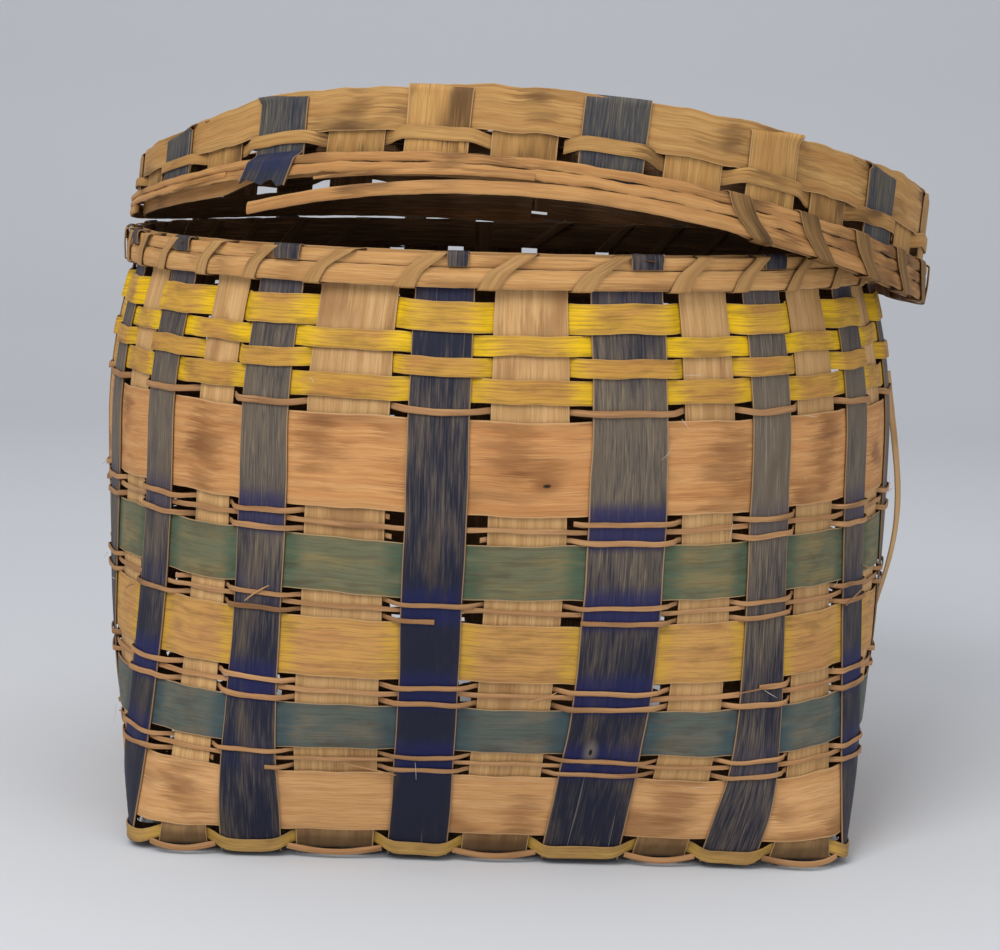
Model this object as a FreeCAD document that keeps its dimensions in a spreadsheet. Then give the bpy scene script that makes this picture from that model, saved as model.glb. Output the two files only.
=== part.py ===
"""Lidded wood-splint basket: a plain-woven body with a lashed rim, and a warped woven lid that lies on it."""
import FreeCAD, Part
import Sketcher
import math
import os
from FreeCAD import Vector

doc = FreeCAD.newDocument("lidded_basket")

# Driving dimensions in millimetres, angles in degrees
SIZES = {
    "splint_thick": 0.9, "layer_step": 1.25, "end_gap": 6.0, "fold_bevel": 1.6, "fold_height": 6.2,
    "base_half": 169.0, "base_corner": 20.0, "belly_half": 200.5, "belly_height": 190.0,
    "rim_mid_radius": 188.5, "rim_height": 285.0, "wall_twist_deg": 3.1, "wall_spread_deg": 6.0,
    "side_splint_width": 29.2, "upright_gap": 6.8, "front_row_shift": 4.0,
    "hoop_thick": 3.0, "hoop_height": 15.0, "hoop_gap": 0.3,
    "lashing_width": 6.0, "lashing_thick": 0.8, "lashing_bevel": 0.5, "lashing_room": 2.5, "bow_room": 0.3,
    "loose_width": 9.0, "loose_bow": 7.0, "loose_foot": 72.0, "loose_top": 222.0,
    "lid_mid_radius": 201.0, "lid_height": 50.0, "lid_fold": 6.0, "lid_hoop_thick": 2.5,
    "lid_hoop_height": 16.0, "lid_splint_width": 30.0, "lid_warp": 14.0, "lid_back_droop": 7.0, "lid_lean": 7.0,
    "strip_height": 6.5, "strip_drop": 12.0, "lid_shift": 13.0, "lid_back_shift": 6.0, "lid_seat_rise": 2.1,
    "lid_pitch_deg": 3.0, "lid_roll_deg": 4.6, "lid_turn_deg": -2.5,
    "stand_left": 8.0, "stand_forward": 5.0,
}

# Width of each front splint, left to right
FRONT_WIDTHS = {
    "front_width_1": 23.0, "front_width_2": 28.0, "front_width_3": 36.5, "front_width_4": 27.5,
    "front_width_5": 31.0, "front_width_6": 36.0, "front_width_7": 25.0, "front_width_8": 26.0,
    "front_width_9": 30.0,
}

# Rows of the body from the foot up: lower edge, upper edge, and whether they pass over the outer splints
ROWS = (
    ("foot_yellow_weaver", ((7.0, 13.0, True),)),
    ("lower_wide_weaver", ((14.2, 44.2, False),)),
    ("thin_weavers_4", ((46.0, 48.5, True), (49.5, 51.5, False), (52.5, 55.0, True))),
    ("teal_weaver", ((56.0, 77.5, False),)),
    ("thin_weavers_3", ((78.5, 81.0, True), (82.0, 84.5, False), (85.5, 89.0, True))),
    ("gold_weaver", ((90.5, 118.0, False),)),
    ("thin_weavers_2", ((119.0, 121.5, True), (122.5, 125.0, False), (126.0, 128.5, True))),
    ("green_weaver", ((129.5, 155.0, False),)),
    ("thin_weavers_1", ((156.0, 159.0, True), (160.0, 163.0, False), (164.0, 167.0, True))),
    ("upper_wide_weaver", ((168.5, 211.5, False),)),
    ("thin_top_weaver", ((214.5, 217.5, True),)),
    ("yellow_weaver_4", ((219.0, 230.0, False),)),
    ("yellow_weaver_3", ((231.0, 239.5, True),)),
    ("yellow_weaver_2", ((240.5, 249.5, False),)),
    ("yellow_weaver_1", ((250.5, 264.0, True),)),
)

# Rows of the lid's skirt, from its open edge up
LID_ROWS = (
    ("lid_narrow_weaver", (19.5, 26.0, True)),
    ("lid_wide_weaver", (27.0, 43.5, False)),
)

# Counts
SIDE_COUNT = 9
LID_FRONT_COUNT = 9
LID_SIDE_COUNT = 7
HOOP_STEPS = 18
LOOSE_STEPS = 10

# Places on the outline, in quarters from the middle of the front towards the right
LOOSE_PLACE_SHARE = 0.87
STRIP_START_SHARE = -0.42
STRIP_END_SHARE = 3.2
STRIP_FREE_SHARE = 0.6
LID_LASHING_START_SHARE = 0.3
LID_LASHING_END_SHARE = 1.3

# How far along each turn of a lashing its eight bends lie
LASHING_TURN_SHARES = (0.0, 0.0, 0.03, 0.35, 0.38, 0.5, 0.53, 0.97)

# Faces closer to flat than this count as flat
FLATNESS = 1e-7


def row_edge_alias(name, index, edge):
    """Name of the cell that holds one edge of one row."""
    return f"{name}_{index + 1}_{edge}"


def fill_sheet():
    """Put every driving dimension in an aliased cell."""
    cells = dict(SIZES)
    cells.update(FRONT_WIDTHS)
    rows = list(ROWS) + [(name, (band,)) for name, band in LID_ROWS]
    for name, bands in rows:
        for index, (low, high, over) in enumerate(bands):
            cells[row_edge_alias(name, index, "low")] = low
            cells[row_edge_alias(name, index, "high")] = high
    table = doc.addObject("Spreadsheet::Sheet", "sizes")
    for row, (alias, value) in enumerate(cells.items(), start=1):
        table.set(f"A{row}", alias)
        table.set(f"B{row}", str(value))
        table.setAlias(f"B{row}", alias)
    doc.recompute()
    return table


sheet = fill_sheet()


def size(alias):
    """Value of one named size."""
    return float(getattr(sheet, alias))


def row_edges(name, index):
    """Lower and upper edge of one band of a row."""
    return size(row_edge_alias(name, index, "low")), size(row_edge_alias(name, index, "high"))


# Layers through the thickness of the weave, inside to outside
LAYERS = {"inmost": -2, "inner": -1, "middle": 0, "outer": 1, "outmost": 2}


def layer(name):
    """Distance of a layer's middle from the middle of the wall."""
    return LAYERS[name] * size("layer_step")


# The middle of the floor's weave stands this far above its lowest face
BASE_MIDDLE = layer("outmost") + size("splint_thick") / 2

# The basket stands a little off the origin, which lies under the middle of the whole with its lid askew
STANCE = FreeCAD.Placement(Vector(-size("stand_left"), -size("stand_forward"), 0), FreeCAD.Rotation())
sub_parts = []


def add_feature(label, shape, placement=FreeCAD.Placement()):
    """Keep one shape as a named sub-part."""
    item = doc.addObject("Part::Feature", label)
    item.Label = label
    item.Shape = shape
    item.Placement = STANCE.multiply(placement)
    sub_parts.append(item)


def climbs_ahead(first, second):
    """Whether the line between two points climbs while it turns counterclockwise about the upright axis."""
    low, high = (first, second) if first.z < second.z else (second, first)
    return low.x * high.y - low.y * high.x > 0


def span_faces(first, second, third, fourth):
    """Flat faces on four corners: one where they are in one plane, otherwise two triangles.

    Twisted corners are always split along the same diagonal, so layers of the weave stay parallel.
    """
    normal = (second - first).cross(third - first).normalize()
    if abs(normal.dot(fourth - first)) < FLATNESS:
        loops = [(first, second, third, fourth, first)]
    elif climbs_ahead(first, third):
        loops = [(first, second, third, first), (first, third, fourth, first)]
    else:
        loops = [(first, second, fourth, first), (second, third, fourth, second)]
    return [Part.Face(Part.makePolygon(loop)) for loop in loops]


def splint(sections):
    """A thin strip through flat four-cornered sections, straight from each section to the next."""
    faces = span_faces(*sections[0]) + span_faces(*sections[-1])
    for here, following in zip(sections[:-1], sections[1:]):
        for index in range(4):
            other = (index + 1) % 4
            faces += span_faces(here[index], here[other], following[other], following[index])
    skin = Part.makeCompound(faces)
    skin.sewShape()
    strip = Part.makeSolid(skin.Shells[0])
    if strip.Volume < 0:
        strip.reverse()
    return strip


def section(middle, across, normal, width, thick):
    """Corners of one cross-section of a strip."""
    side = across * (width / 2)
    out = normal * (thick / 2)
    return [middle - side - out, middle + side - out, middle + side + out, middle - side + out]


def rise_share(height):
    """Goes from 0 at the fold to 1 at the belly, flattening as it gets there."""
    share = (height - size("fold_height")) / (size("belly_height") - size("fold_height"))
    return 1 - (1 - min(max(share, 0.0), 1.0)) ** 2


def body_outline(height):
    """Half width and corner radius of the wall's middle surface: square at the foot, round above the belly."""
    rise = rise_share(height)
    half = size("base_half") + (size("belly_half") - size("base_half")) * rise
    corner = size("base_corner") + (size("belly_half") - size("base_corner")) * rise
    neck = size("rim_height") - size("hoop_height") - size("lashing_room")
    over = (min(height, neck) - size("belly_height")) / (neck - size("belly_height"))
    draw_in = (size("belly_half") - size("rim_mid_radius")) * max(over, 0.0) ** 2
    return half - draw_in, corner - draw_in


def body_twist(quarters, height):
    """Uprights lean as they rise: all turn one way, and those of the front and back spread; in quarters."""
    turn = size("wall_twist_deg") + size("wall_spread_deg") * math.sin(math.pi * quarters)
    return turn / 90 * rise_share(height)


def no_bend(point):
    """The body keeps its shape."""
    return point


def lid_outline(height):
    """The lid is round all the way up."""
    return size("lid_mid_radius"), size("lid_mid_radius")


def no_twist(quarters, height):
    """The lid's splints stand upright."""
    return 0.0


def lid_bend(point):
    """The old lid has warped: the front curls up, the back less, the sides sag, and the right end is taller."""
    radius = size("lid_mid_radius")
    taller = 1 + size("lid_lean") / size("lid_height") * point.x / radius
    warp = size("lid_warp") * (point.y ** 2 - point.x ** 2) / radius ** 2
    droop = size("lid_back_droop") * max(point.y, 0.0) ** 2 / radius ** 2
    return Vector(point.x, point.y, point.z * taller + warp - droop)


def outline_point(half, corner, quarters):
    """Point and outward direction on a rounded square; quarters run from the front's middle to the right."""
    flat = 2 * (half - corner)
    arc = math.pi / 2 * corner
    along = (quarters % 4.0) * (flat + arc) + flat / 2
    side, rest = divmod(along, flat + arc)
    if rest < flat:
        point = Vector(rest - flat / 2, -half, 0)
        normal = Vector(0, -1, 0)
    else:
        angle = (rest - flat) / corner
        normal = Vector(math.sin(angle), -math.cos(angle), 0)
        point = Vector(flat / 2, -flat / 2, 0) + normal * corner
    turn = FreeCAD.Rotation(Vector(0, 0, 1), 90 * side)
    return turn.multVec(point), turn.multVec(normal)


class Weave:
    """A woven cup, upright or turned over: splints that cross on its floor and rise as its walls, and hoops."""

    def __init__(self, outline, twist, bend, fold_height, floor, floor_way):
        self.outline = outline
        self.twist = twist
        self.bend = bend
        self.fold_height = fold_height
        self.floor = floor
        self.outward = Vector(0, 0, floor_way)
        half, corner = outline(fold_height)
        self.quarter = 2 * (half - corner) + math.pi / 2 * corner
        self.front = []
        self.side = []

    def wall(self, quarters, height, offset):
        """Point on the wall at a layer's offset, and the outward direction there."""
        half, corner = self.outline(height)
        point, normal = outline_point(half, corner, quarters + self.twist(quarters, height))
        return point + normal * offset + Vector(0, 0, height), normal

    def edges(self):
        """Both edges of every upright, in order around the wall, with whether it lies outside."""
        found = []
        for face, group in enumerate((self.front, self.side, self.front, self.side)):
            for place, width, outside in group:
                middle = face + (place if face < 2 else -place)
                reach = width / 2 / self.quarter
                found.append((middle - reach, middle + reach, outside))
        return sorted(found)

    def wall_sections(self, middle, width, offset, stops, turned):
        """Sections of an upright, from the top of the wall to the fold."""
        reach = width / 2 / self.quarter
        sections = []
        for height in stops:
            left, left_out = self.wall(middle - reach, height, 0)
            right, right_out = self.wall(middle + reach, height, 0)
            across = right - left
            chord = across.Length
            across.normalize()
            normal = across.cross(Vector(0, 0, 1))
            spot = (left + right) * 0.5 + normal * offset
            sections.append(section(spot, across * turned, normal, chord, size("splint_thick")))
        return sections

    def upright(self, face, place, width, outside, stops, crossings):
        """One splint: down the near wall, across the floor and up the far wall.

        Front splints stay in one layer of the floor. Of the side splints, the outer ones run through the
        floor's middle and the inner ones pass over and under the splints that they cross.
        """
        thick = size("splint_thick")
        level = "outer" if outside else "inner"
        offset = layer(level)
        if face == 1 and outside:
            level = "middle"
        turn = FreeCAD.Rotation(Vector(0, 0, 1), 90 * face)
        across = turn.multVec(Vector(1, 0, 0))
        travel = turn.multVec(Vector(0, 1, 0))
        floor = Vector(0, 0, self.floor)
        ends = []
        for middle, into, turned in ((face + place, travel, 1), (face + 2 - place, travel * -1, -1)):
            wall = self.wall_sections(middle, width, offset, stops, turned)
            foot = self.wall(middle, self.fold_height, offset)[0]
            foot.z = 0
            chord = (wall[-1][1] - wall[-1][0]).normalize()
            outward = (wall[-1][3] - wall[-1][0]).normalize()
            slant = abs(chord.dot(travel)) * width / 2
            bend_spot = foot + floor + self.outward * (layer(level) - size("fold_bevel"))
            inset = size("fold_bevel") + offset + layer("outmost") + slant
            start = foot + floor + self.outward * layer(level) + into * inset
            wall.append(section(bend_spot, chord, outward, width, thick))
            wall.append(section(start, across, self.outward, width, thick))
            ends.append(wall)
        path = ends[0]
        lane = across * foot.dot(across) + floor
        for first, last, crossed_outside in crossings:
            if face == 1 and not outside:
                level = "outmost" if crossed_outside else "inmost"
            spot = lane + self.outward * layer(level)
            for along in (first, last):
                path.append(section(spot + travel * along, across, self.outward, width, thick))
        path += reversed(ends[1])
        return splint([[self.bend(corner) for corner in corners] for corners in path])

    def band_section(self, quarters, low, high, offset, thick):
        """Flat cross-section of a hoop: inner and outer corners at its lower and upper edge."""
        bottom, bottom_out = self.wall(quarters, low, 0)
        top, top_out = self.wall(quarters, high, 0)
        normal = (bottom_out + top_out).normalize()
        inner = normal * (offset - thick / 2)
        outer = normal * (offset + thick / 2)
        return [self.bend(corner) for corner in (bottom + inner, bottom + outer, top + outer, top + inner)]

    def weaver(self, low, high, over):
        """One row: an open hoop, its ends at the back, that passes over or under the uprights in turn."""
        back = 2.0
        edges = self.edges()
        ordered = [edge for edge in edges if edge[0] >= back]
        ordered += [(left + 4, right + 4, outside) for left, right, outside in edges if left < back]
        sections = []
        for left, right, outside in ordered:
            offset = layer("middle")
            if over:
                offset = layer("outmost") if outside else layer("inmost")
            for quarters in (left, right):
                sections.append(self.band_section(quarters, low, high, offset, size("splint_thick")))
        return splint(sections)

    def hoop(self, offset, thick, first, last, edges_at):
        """A plain hoop from one place on the outline to another; edges_at gives its edges at each place."""
        steps = round((last - first) * HOOP_STEPS)
        sections = []
        for step in range(steps + 1):
            quarters = first + (last - first) * step / steps
            sections.append(self.band_section(quarters, *edges_at(quarters), offset, thick))
        return splint(sections)

    def lashing(self, through, around, inside, outside, gaps):
        """One long strip wound round two hoops; at one edge of them it passes the gaps between uprights."""
        thick = size("lashing_thick")
        bevel = size("lashing_bevel")
        clear = size("hoop_gap") + thick / 2
        way = 1 if around > through else -1
        inner, outer = inside - clear, outside + clear
        near, far = through - way * clear, around + way * clear
        share = size("lashing_width") / 2 / self.quarter
        turns = (
            (inner + bevel, near, 0, -way), (outer - bevel, near, 0, -way),
            (outer, near + way * bevel, 1, 0), (outer, far - way * bevel, 1, 0),
            (outer - bevel, far, 0, way), (inner + bevel, far, 0, way),
            (inner, far - way * bevel, -1, 0), (inner, near + way * bevel, -1, 0),
        )
        sections = []
        for gap, following in zip(gaps[:-1], gaps[1:]):
            for along_share, (offset, height, out, up) in zip(LASHING_TURN_SHARES, turns):
                quarters = gap + (following - gap) * along_share
                corners = []
                for away, aside in ((-1, -1), (-1, 1), (1, 1), (1, -1)):
                    shift = away * thick / 2
                    point, normal = self.wall(quarters + aside * share, height, offset + out * shift)
                    corners.append(self.bend(point + Vector(0, 0, up * shift)))
                sections.append(corners)
        return splint(sections)


def placed_in_row(widths, gap):
    """Middles of splints that stand side by side with equal gaps, measured from the middle of the row."""
    places = []
    edge = -(sum(widths) + gap * (len(widths) - 1)) / 2
    for width in widths:
        places.append(edge + width / 2)
        edge += width + gap
    return places


def add_uprights(weave, front_label, side_label, stops, placement):
    """Both sets of splints of a cup, each told where on the floor it crosses the other set."""
    crossings = []
    for face, group in ((1, weave.side), (0, weave.front)):
        crossed = []
        for place, width, outside in group:
            foot = weave.wall(face + place, weave.fold_height, layer("outer") if outside else layer("inner"))[0]
            along = foot.y if face == 1 else -foot.x
            crossed.append((along - width / 2, along + width / 2, outside))
        crossings.append(sorted(crossed))
    for face, (label, group) in enumerate(((front_label, weave.front), (side_label, weave.side))):
        for index, upright in enumerate(group):
            shape = weave.upright(face, *upright, stops, crossings[face])
            add_feature(f"{label}_{index + 1}", shape, placement)


def make_body():
    """Basket body: uprights and weavers."""
    body = Weave(body_outline, body_twist, no_bend, size("fold_height"), BASE_MIDDLE, -1)
    front_widths = [size(alias) for alias in FRONT_WIDTHS]
    side_widths = [size("side_splint_width")] * SIDE_COUNT
    for index, place in enumerate(placed_in_row(front_widths, size("upright_gap"))):
        shifted = place + size("front_row_shift")
        body.front.append((shifted / body.quarter, front_widths[index], index % 2 == 1))
    for index, place in enumerate(placed_in_row(side_widths, size("upright_gap"))):
        body.side.append((place / body.quarter, side_widths[index], index % 2 == 0))
    top = size("rim_height") - size("hoop_gap")
    stops = {size("fold_height"), top, size("rim_height") - size("hoop_height")}
    for name, bands in ROWS:
        for index in range(len(bands)):
            stops.update(row_edges(name, index))
    stops = sorted(stops, reverse=True)
    add_uprights(body, "front_splint", "side_splint", stops, FreeCAD.Placement())
    for name, bands in ROWS:
        solids = [body.weaver(*row_edges(name, index), band[2]) for index, band in enumerate(bands)]
        add_feature(name, solids[0] if len(solids) == 1 else Part.makeCompound(solids))
    return body


def make_hoop(label, inner_radius_expression):
    """A round rim hoop, turned about the basket's upright axis."""
    hoop = doc.addObject("PartDesign::Body", label)
    hoop.Label = label
    sketch = hoop.newObject("Sketcher::SketchObject", label + "_section")
    planes = {plane.Role: plane for plane in hoop.Origin.OriginFeatures}
    sketch.AttachmentSupport = [(planes["XZ_Plane"], "")]
    sketch.MapMode = "FlatFace"
    thick, height = size("hoop_thick"), size("hoop_height")
    low, inner = size("rim_height") - height, size("rim_mid_radius")
    corners = [Vector(inner, low, 0), Vector(inner + thick, low, 0),
               Vector(inner + thick, low + height, 0), Vector(inner, low + height, 0)]
    for index in range(4):
        sketch.addGeometry(Part.LineSegment(corners[index], corners[(index + 1) % 4]), False)
    for index in range(4):
        sketch.addConstraint(Sketcher.Constraint("Coincident", index, 2, (index + 1) % 4, 1))
    for index, way in enumerate(("Horizontal", "Vertical", "Horizontal", "Vertical")):
        sketch.addConstraint(Sketcher.Constraint(way, index))
    bound = (
        ("DistanceX", (0, 1, 0, 2), thick, "sizes.hoop_thick"),
        ("DistanceY", (1, 1, 1, 2), height, "sizes.hoop_height"),
        ("DistanceX", (-1, 1, 0, 1), inner, inner_radius_expression),
        ("DistanceY", (-1, 1, 0, 1), low, "sizes.rim_height - sizes.hoop_height"),
    )
    for kind, points, value, expression in bound:
        number = sketch.addConstraint(Sketcher.Constraint(kind, *points, value))
        sketch.setExpression(f"Constraints[{number}]", expression)
    turned = hoop.newObject("PartDesign::Revolution", label + "_turned")
    turned.Profile = sketch
    turned.ReferenceAxis = (sketch, ["V_Axis"])
    turned.Angle = 360
    hoop.Placement = STANCE
    sub_parts.append(hoop)


def make_rim(body):
    """Two hoops that hold the uprights' ends, and the strip that lashes them together."""
    seat = "sizes.layer_step + sizes.splint_thick / 2 + sizes.hoop_gap"
    bulge = "sizes.front_width_3 ^ 2 / (8 * sizes.rim_mid_radius)"
    make_hoop("rim_outer_hoop", f"sizes.rim_mid_radius + {seat}")
    make_hoop("rim_inner_hoop", f"sizes.rim_mid_radius - sizes.hoop_thick - ({seat}) - {bulge}")
    edges = body.edges()
    gaps = [(left[1] + right[0]) / 2 for left, right in zip(edges[:-1], edges[1:])]
    gaps.append((edges[-1][1] + edges[0][0] + 4) / 2)
    start = len(gaps) // 2
    gaps = gaps[start:] + [gap + 4 for gap in gaps[:start]]
    outside = layer("outer") + size("splint_thick") / 2 + size("hoop_gap") + size("hoop_thick")
    inside = -outside - size("front_width_3") ** 2 / (8 * size("rim_mid_radius")) - size("bow_room")
    low = size("rim_height") - size("hoop_height")
    add_feature("rim_lashing", body.lashing(low, size("rim_height"), inside, outside, gaps))


def make_loose_splint(body):
    """A natural strip that has sprung out of the right side and bows away from the wall."""
    low, high = size("loose_foot"), size("loose_top")
    seat = size("splint_thick") + size("hoop_gap")
    sections = []
    for step in range(LOOSE_STEPS + 1):
        share = step / LOOSE_STEPS
        height = low + (high - low) * share
        bow = size("loose_bow") * math.sin(math.pi * share) ** 2
        point, normal = body.wall(LOOSE_PLACE_SHARE, height, seat + bow)
        across = Vector(0, 0, 1).cross(normal)
        sections.append(section(point, across, normal, size("loose_width"), size("splint_thick")))
    add_feature("loose_side_splint", splint(sections))


def make_lid():
    """The lid, built over its own centre, and how it is laid askew on the rim."""
    fold = size("lid_height") - size("lid_fold")
    lid = Weave(lid_outline, no_twist, lid_bend, fold, size("lid_height") - BASE_MIDDLE, 1)
    ends = 2 * (LID_FRONT_COUNT + LID_SIDE_COUNT)
    for group, count, odd in ((lid.front, LID_FRONT_COUNT, 1), (lid.side, LID_SIDE_COUNT, 0)):
        for index in range(count):
            place = (index - (count - 1) / 2) * 4 / ends
            width = size("lid_splint_width") * math.sqrt(math.cos(place * math.pi / 2))
            group.append((place, width, index % 2 == odd))
    turn = FreeCAD.Rotation(Vector(0, 1, 0), size("lid_roll_deg"))
    turn = turn.multiply(FreeCAD.Rotation(Vector(1, 0, 0), -size("lid_pitch_deg")))
    turn = turn.multiply(FreeCAD.Rotation(Vector(0, 0, 1), size("lid_turn_deg")))
    seat = Vector(size("lid_shift"), size("lid_back_shift"), size("rim_height") + size("lid_seat_rise"))
    return lid, FreeCAD.Placement(seat, turn)


def make_lid_weave(lid, placement):
    """The lid's crossing splints and the two rows of its skirt."""
    stops = [size("hoop_gap"), size("lid_hoop_height")]
    for name, band in LID_ROWS:
        stops += row_edges(name, 0)
    stops.append(lid.fold_height)
    add_uprights(lid, "lid_front_splint", "lid_side_splint", stops, placement)
    for name, band in LID_ROWS:
        add_feature(name, lid.weaver(*row_edges(name, 0), band[2]), placement)


def make_lid_rim(lid, placement):
    """The lid's hoops, the strip that has split off the outer one, and what is left of the lashing."""
    thick = size("lid_hoop_thick")
    height = size("lid_hoop_height")
    split = size("strip_height")
    bulge = size("lid_splint_width") ** 2 / (8 * size("lid_mid_radius"))
    outside = layer("outer") + size("splint_thick") / 2 + size("hoop_gap")
    inside = -outside - bulge
    first = 2 + size("end_gap") / lid.quarter

    def strip_edges(quarters):
        hang = max(STRIP_FREE_SHARE - (quarters - STRIP_START_SHARE), 0.0) / STRIP_FREE_SHARE
        drop = size("strip_drop") * hang ** 2
        return -drop, split - size("hoop_gap") - drop

    add_feature("lid_outer_hoop", lid.hoop(outside + thick / 2, thick, first, 6, lambda quarters: (split, height)),
                placement)
    add_feature("lid_inner_hoop", lid.hoop(inside - thick / 2, thick, first, 6, lambda quarters: (0, height)),
                placement)
    strip = lid.hoop(outside + thick / 2, thick, STRIP_START_SHARE, STRIP_END_SHARE, strip_edges)
    add_feature("lid_split_strip", strip, placement)
    edges = lid.edges()
    gaps = [(left[1] + right[0]) / 2 for left, right in zip(edges[:-1], edges[1:])]
    gaps = [gap for gap in gaps if LID_LASHING_START_SHARE < gap < LID_LASHING_END_SHARE]
    inside_face = inside - thick - size("bow_room")
    outside_face = outside + thick + size("bow_room")
    lashing = lid.lashing(height, 0, inside_face, outside_face, gaps)
    add_feature("lid_lashing", lashing, placement)


body = make_body()
make_rim(body)
make_loose_splint(body)
lid, lid_placement = make_lid()
make_lid_weave(lid, lid_placement)
make_lid_rim(lid, lid_placement)
doc.recompute()

for item in doc.Objects:
    if "Invalid" in item.State or "Error" in item.State:
        raise RuntimeError(f"{item.Label} failed: {item.State}")
for item in sub_parts:
    shape = item.Shape
    if shape.isNull() or not shape.isValid():
        raise RuntimeError(f"{item.Label} has no valid shape")
    if min(solid.Volume for solid in shape.Solids) <= 0:
        raise RuntimeError(f"{item.Label} has an inside-out solid")

os.makedirs("parts", exist_ok=True)
for item in sub_parts:
    item.Shape.exportStep(f"parts/{item.Label}.step")
print(len(sub_parts), "sub-parts")
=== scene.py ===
"""Dressed lidded basket: woven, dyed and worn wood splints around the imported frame."""
import math
import bpy
import numpy as np
from mathutils import Matrix, Vector


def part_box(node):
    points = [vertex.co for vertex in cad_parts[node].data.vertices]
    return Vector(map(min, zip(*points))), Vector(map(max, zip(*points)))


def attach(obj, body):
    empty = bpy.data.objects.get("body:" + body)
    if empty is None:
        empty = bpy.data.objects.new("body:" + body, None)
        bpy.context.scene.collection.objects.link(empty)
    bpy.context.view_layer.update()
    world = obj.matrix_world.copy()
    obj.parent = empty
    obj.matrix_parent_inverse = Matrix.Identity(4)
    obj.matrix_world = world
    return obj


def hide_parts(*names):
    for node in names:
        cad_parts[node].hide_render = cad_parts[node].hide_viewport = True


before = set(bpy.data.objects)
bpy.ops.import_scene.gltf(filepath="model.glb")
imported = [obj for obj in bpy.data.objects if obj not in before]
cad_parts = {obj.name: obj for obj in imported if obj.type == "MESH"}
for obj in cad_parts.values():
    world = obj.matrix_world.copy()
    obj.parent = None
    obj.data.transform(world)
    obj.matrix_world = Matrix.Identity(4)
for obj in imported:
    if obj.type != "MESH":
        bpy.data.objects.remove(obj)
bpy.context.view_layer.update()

# Sizes of the weave, in metres
SPLINT_THICK = 0.0009
LAYER_STEP = 0.00125
FOLD_HEIGHT = 0.0062
FOLD_BEVEL = 0.0016
BASE_HALF = 0.169
BASE_CORNER = 0.020
BELLY_HALF = 0.2005
BELLY_HEIGHT = 0.190
RIM_MID_RADIUS = 0.1885
RIM_HEIGHT = 0.285
HOOP_HEIGHT = 0.015
HOOP_THICK = 0.003
HOOP_GAP = 0.0003
NECK_HEIGHT = 0.2675
WALL_TWIST = 3.1 / 90
WALL_SPREAD = 6.0 / 90
UPRIGHT_GAP = 0.0068
SIDE_WIDTH = 0.0292
SIDE_COUNT = 9
FRONT_SHIFT = 0.004
FRONT_WIDTHS = (0.023, 0.028, 0.0365, 0.0275, 0.031, 0.036, 0.025, 0.026, 0.030)
BASE_MIDDLE = 2 * LAYER_STEP + SPLINT_THICK / 2
STANCE = Vector((-0.008, -0.005, 0))
BLUE_SLIM_SHARE = 0.1

# Sizes of the lid, in metres
LID_RADIUS = 0.201
LID_HEIGHT = 0.050
LID_FOLD = 0.006
LID_WARP = 0.014
LID_BACK_DROOP = 0.007
LID_LEAN = 0.007
LID_BEATEN, BEATEN_SHARES = 0.011, (0.55, 1.0)
LID_HOOP_THICK = 0.0025
LID_HOOP_HEIGHT = 0.016
LID_HOOP_CRACK = 0.0112
LID_CRACK_GAP = 0.0004
LID_SPLINT_WIDTH = 0.030
LID_SPLIT_HEIGHT = 0.0065
LID_UPRIGHT_END = 0.0078
LID_WIDE_ROW = (0.027, 0.0474)
LID_NARROW_ROW = (0.0195, 0.0258)
LID_SEAT = Vector((0.013, 0.006, 0.2871))
LID_ROLL, LID_PITCH, LID_TURN = math.radians(4.6), math.radians(3.0), math.radians(-2.5)
STRIP_DROP = 0.012

# Mesh steps: in metres along a strip, and as a count round a fold
STRIP_STEP = 0.003
BEND_STEPS = 8

# Strips take one of so many patterns of grain
SEED_CYCLE = 97

# Irregular edges: lengths of the waves in metres, and their heights in metres or as shares
UPRIGHT_WAVES, UPRIGHT_WAVE_SHARE = (0.16, 0.19), 0.035
ROW_WAVE, ROW_EDGE_WAVES, ROW_EDGE_SHARE = 0.11, (0.037, 0.041), 0.3
HOOP_WAVES, HOOP_RAGGED, HOOP_SOFT_SHARE = (0.031, 0.053), 0.0002, 0.25
RIBBON_WAVE, RIBBON_WAVE_SHARE = 0.03, 0.06

# How far past a covering upright a row comes into the open, and the span of that distance that is marked
OPEN_SPAN, COVER_SPAN = (-0.002, 0.012), (-0.02, 0.05)

# Height from which the outer uprights are at their slimmest
SLIM_HEIGHT = 0.1

# Ends of a whole hoop in quarters around, with the front's middle at 4
HOOP_ENDS = (2.02, 5.99)

# Edges that turn by more than this look sharp
SHARP_ANGLE = math.radians(48)

# Layers through the weave, inside to outside, and the place of a hoop against the outer uprights
INMOST, INNER, MIDDLE, OUTER, OUTMOST = (-2 * LAYER_STEP, -LAYER_STEP, 0.0, LAYER_STEP, 2 * LAYER_STEP)
HOOP_SEAT = OUTER + SPLINT_THICK / 2 + HOOP_GAP

UP = np.array([0, 0, 1.0])


# Helpers for numbers

def colour(shade):
    """A colour given as it looks on a screen, from 0 to 255, as linear light."""
    channels = []
    for value in shade:
        share = value / 255
        channels.append(share / 12.92 if share <= 0.04045 else ((share + 0.055) / 1.055) ** 2.4)
    return (*channels, 1.0)


def smooth(low, high, values):
    """Goes softly from 0 at low to 1 at high."""
    share = np.clip((values - low) / (high - low), 0, 1)
    return share * share * (3 - 2 * share)


def wobble(values, length, seed):
    """A gentle irregular wave between about -1 and 1, the same on every run."""
    phases = np.random.default_rng(seed).uniform(0, 2 * np.pi, 3)
    turns = np.asarray(values) / length * 2 * np.pi
    waves = np.sin(turns + phases[0])
    waves = waves + 0.6 * np.sin(2.3 * turns + phases[1])
    waves = waves + 0.4 * np.sin(4.7 * turns + phases[2])
    return waves / 2


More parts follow.
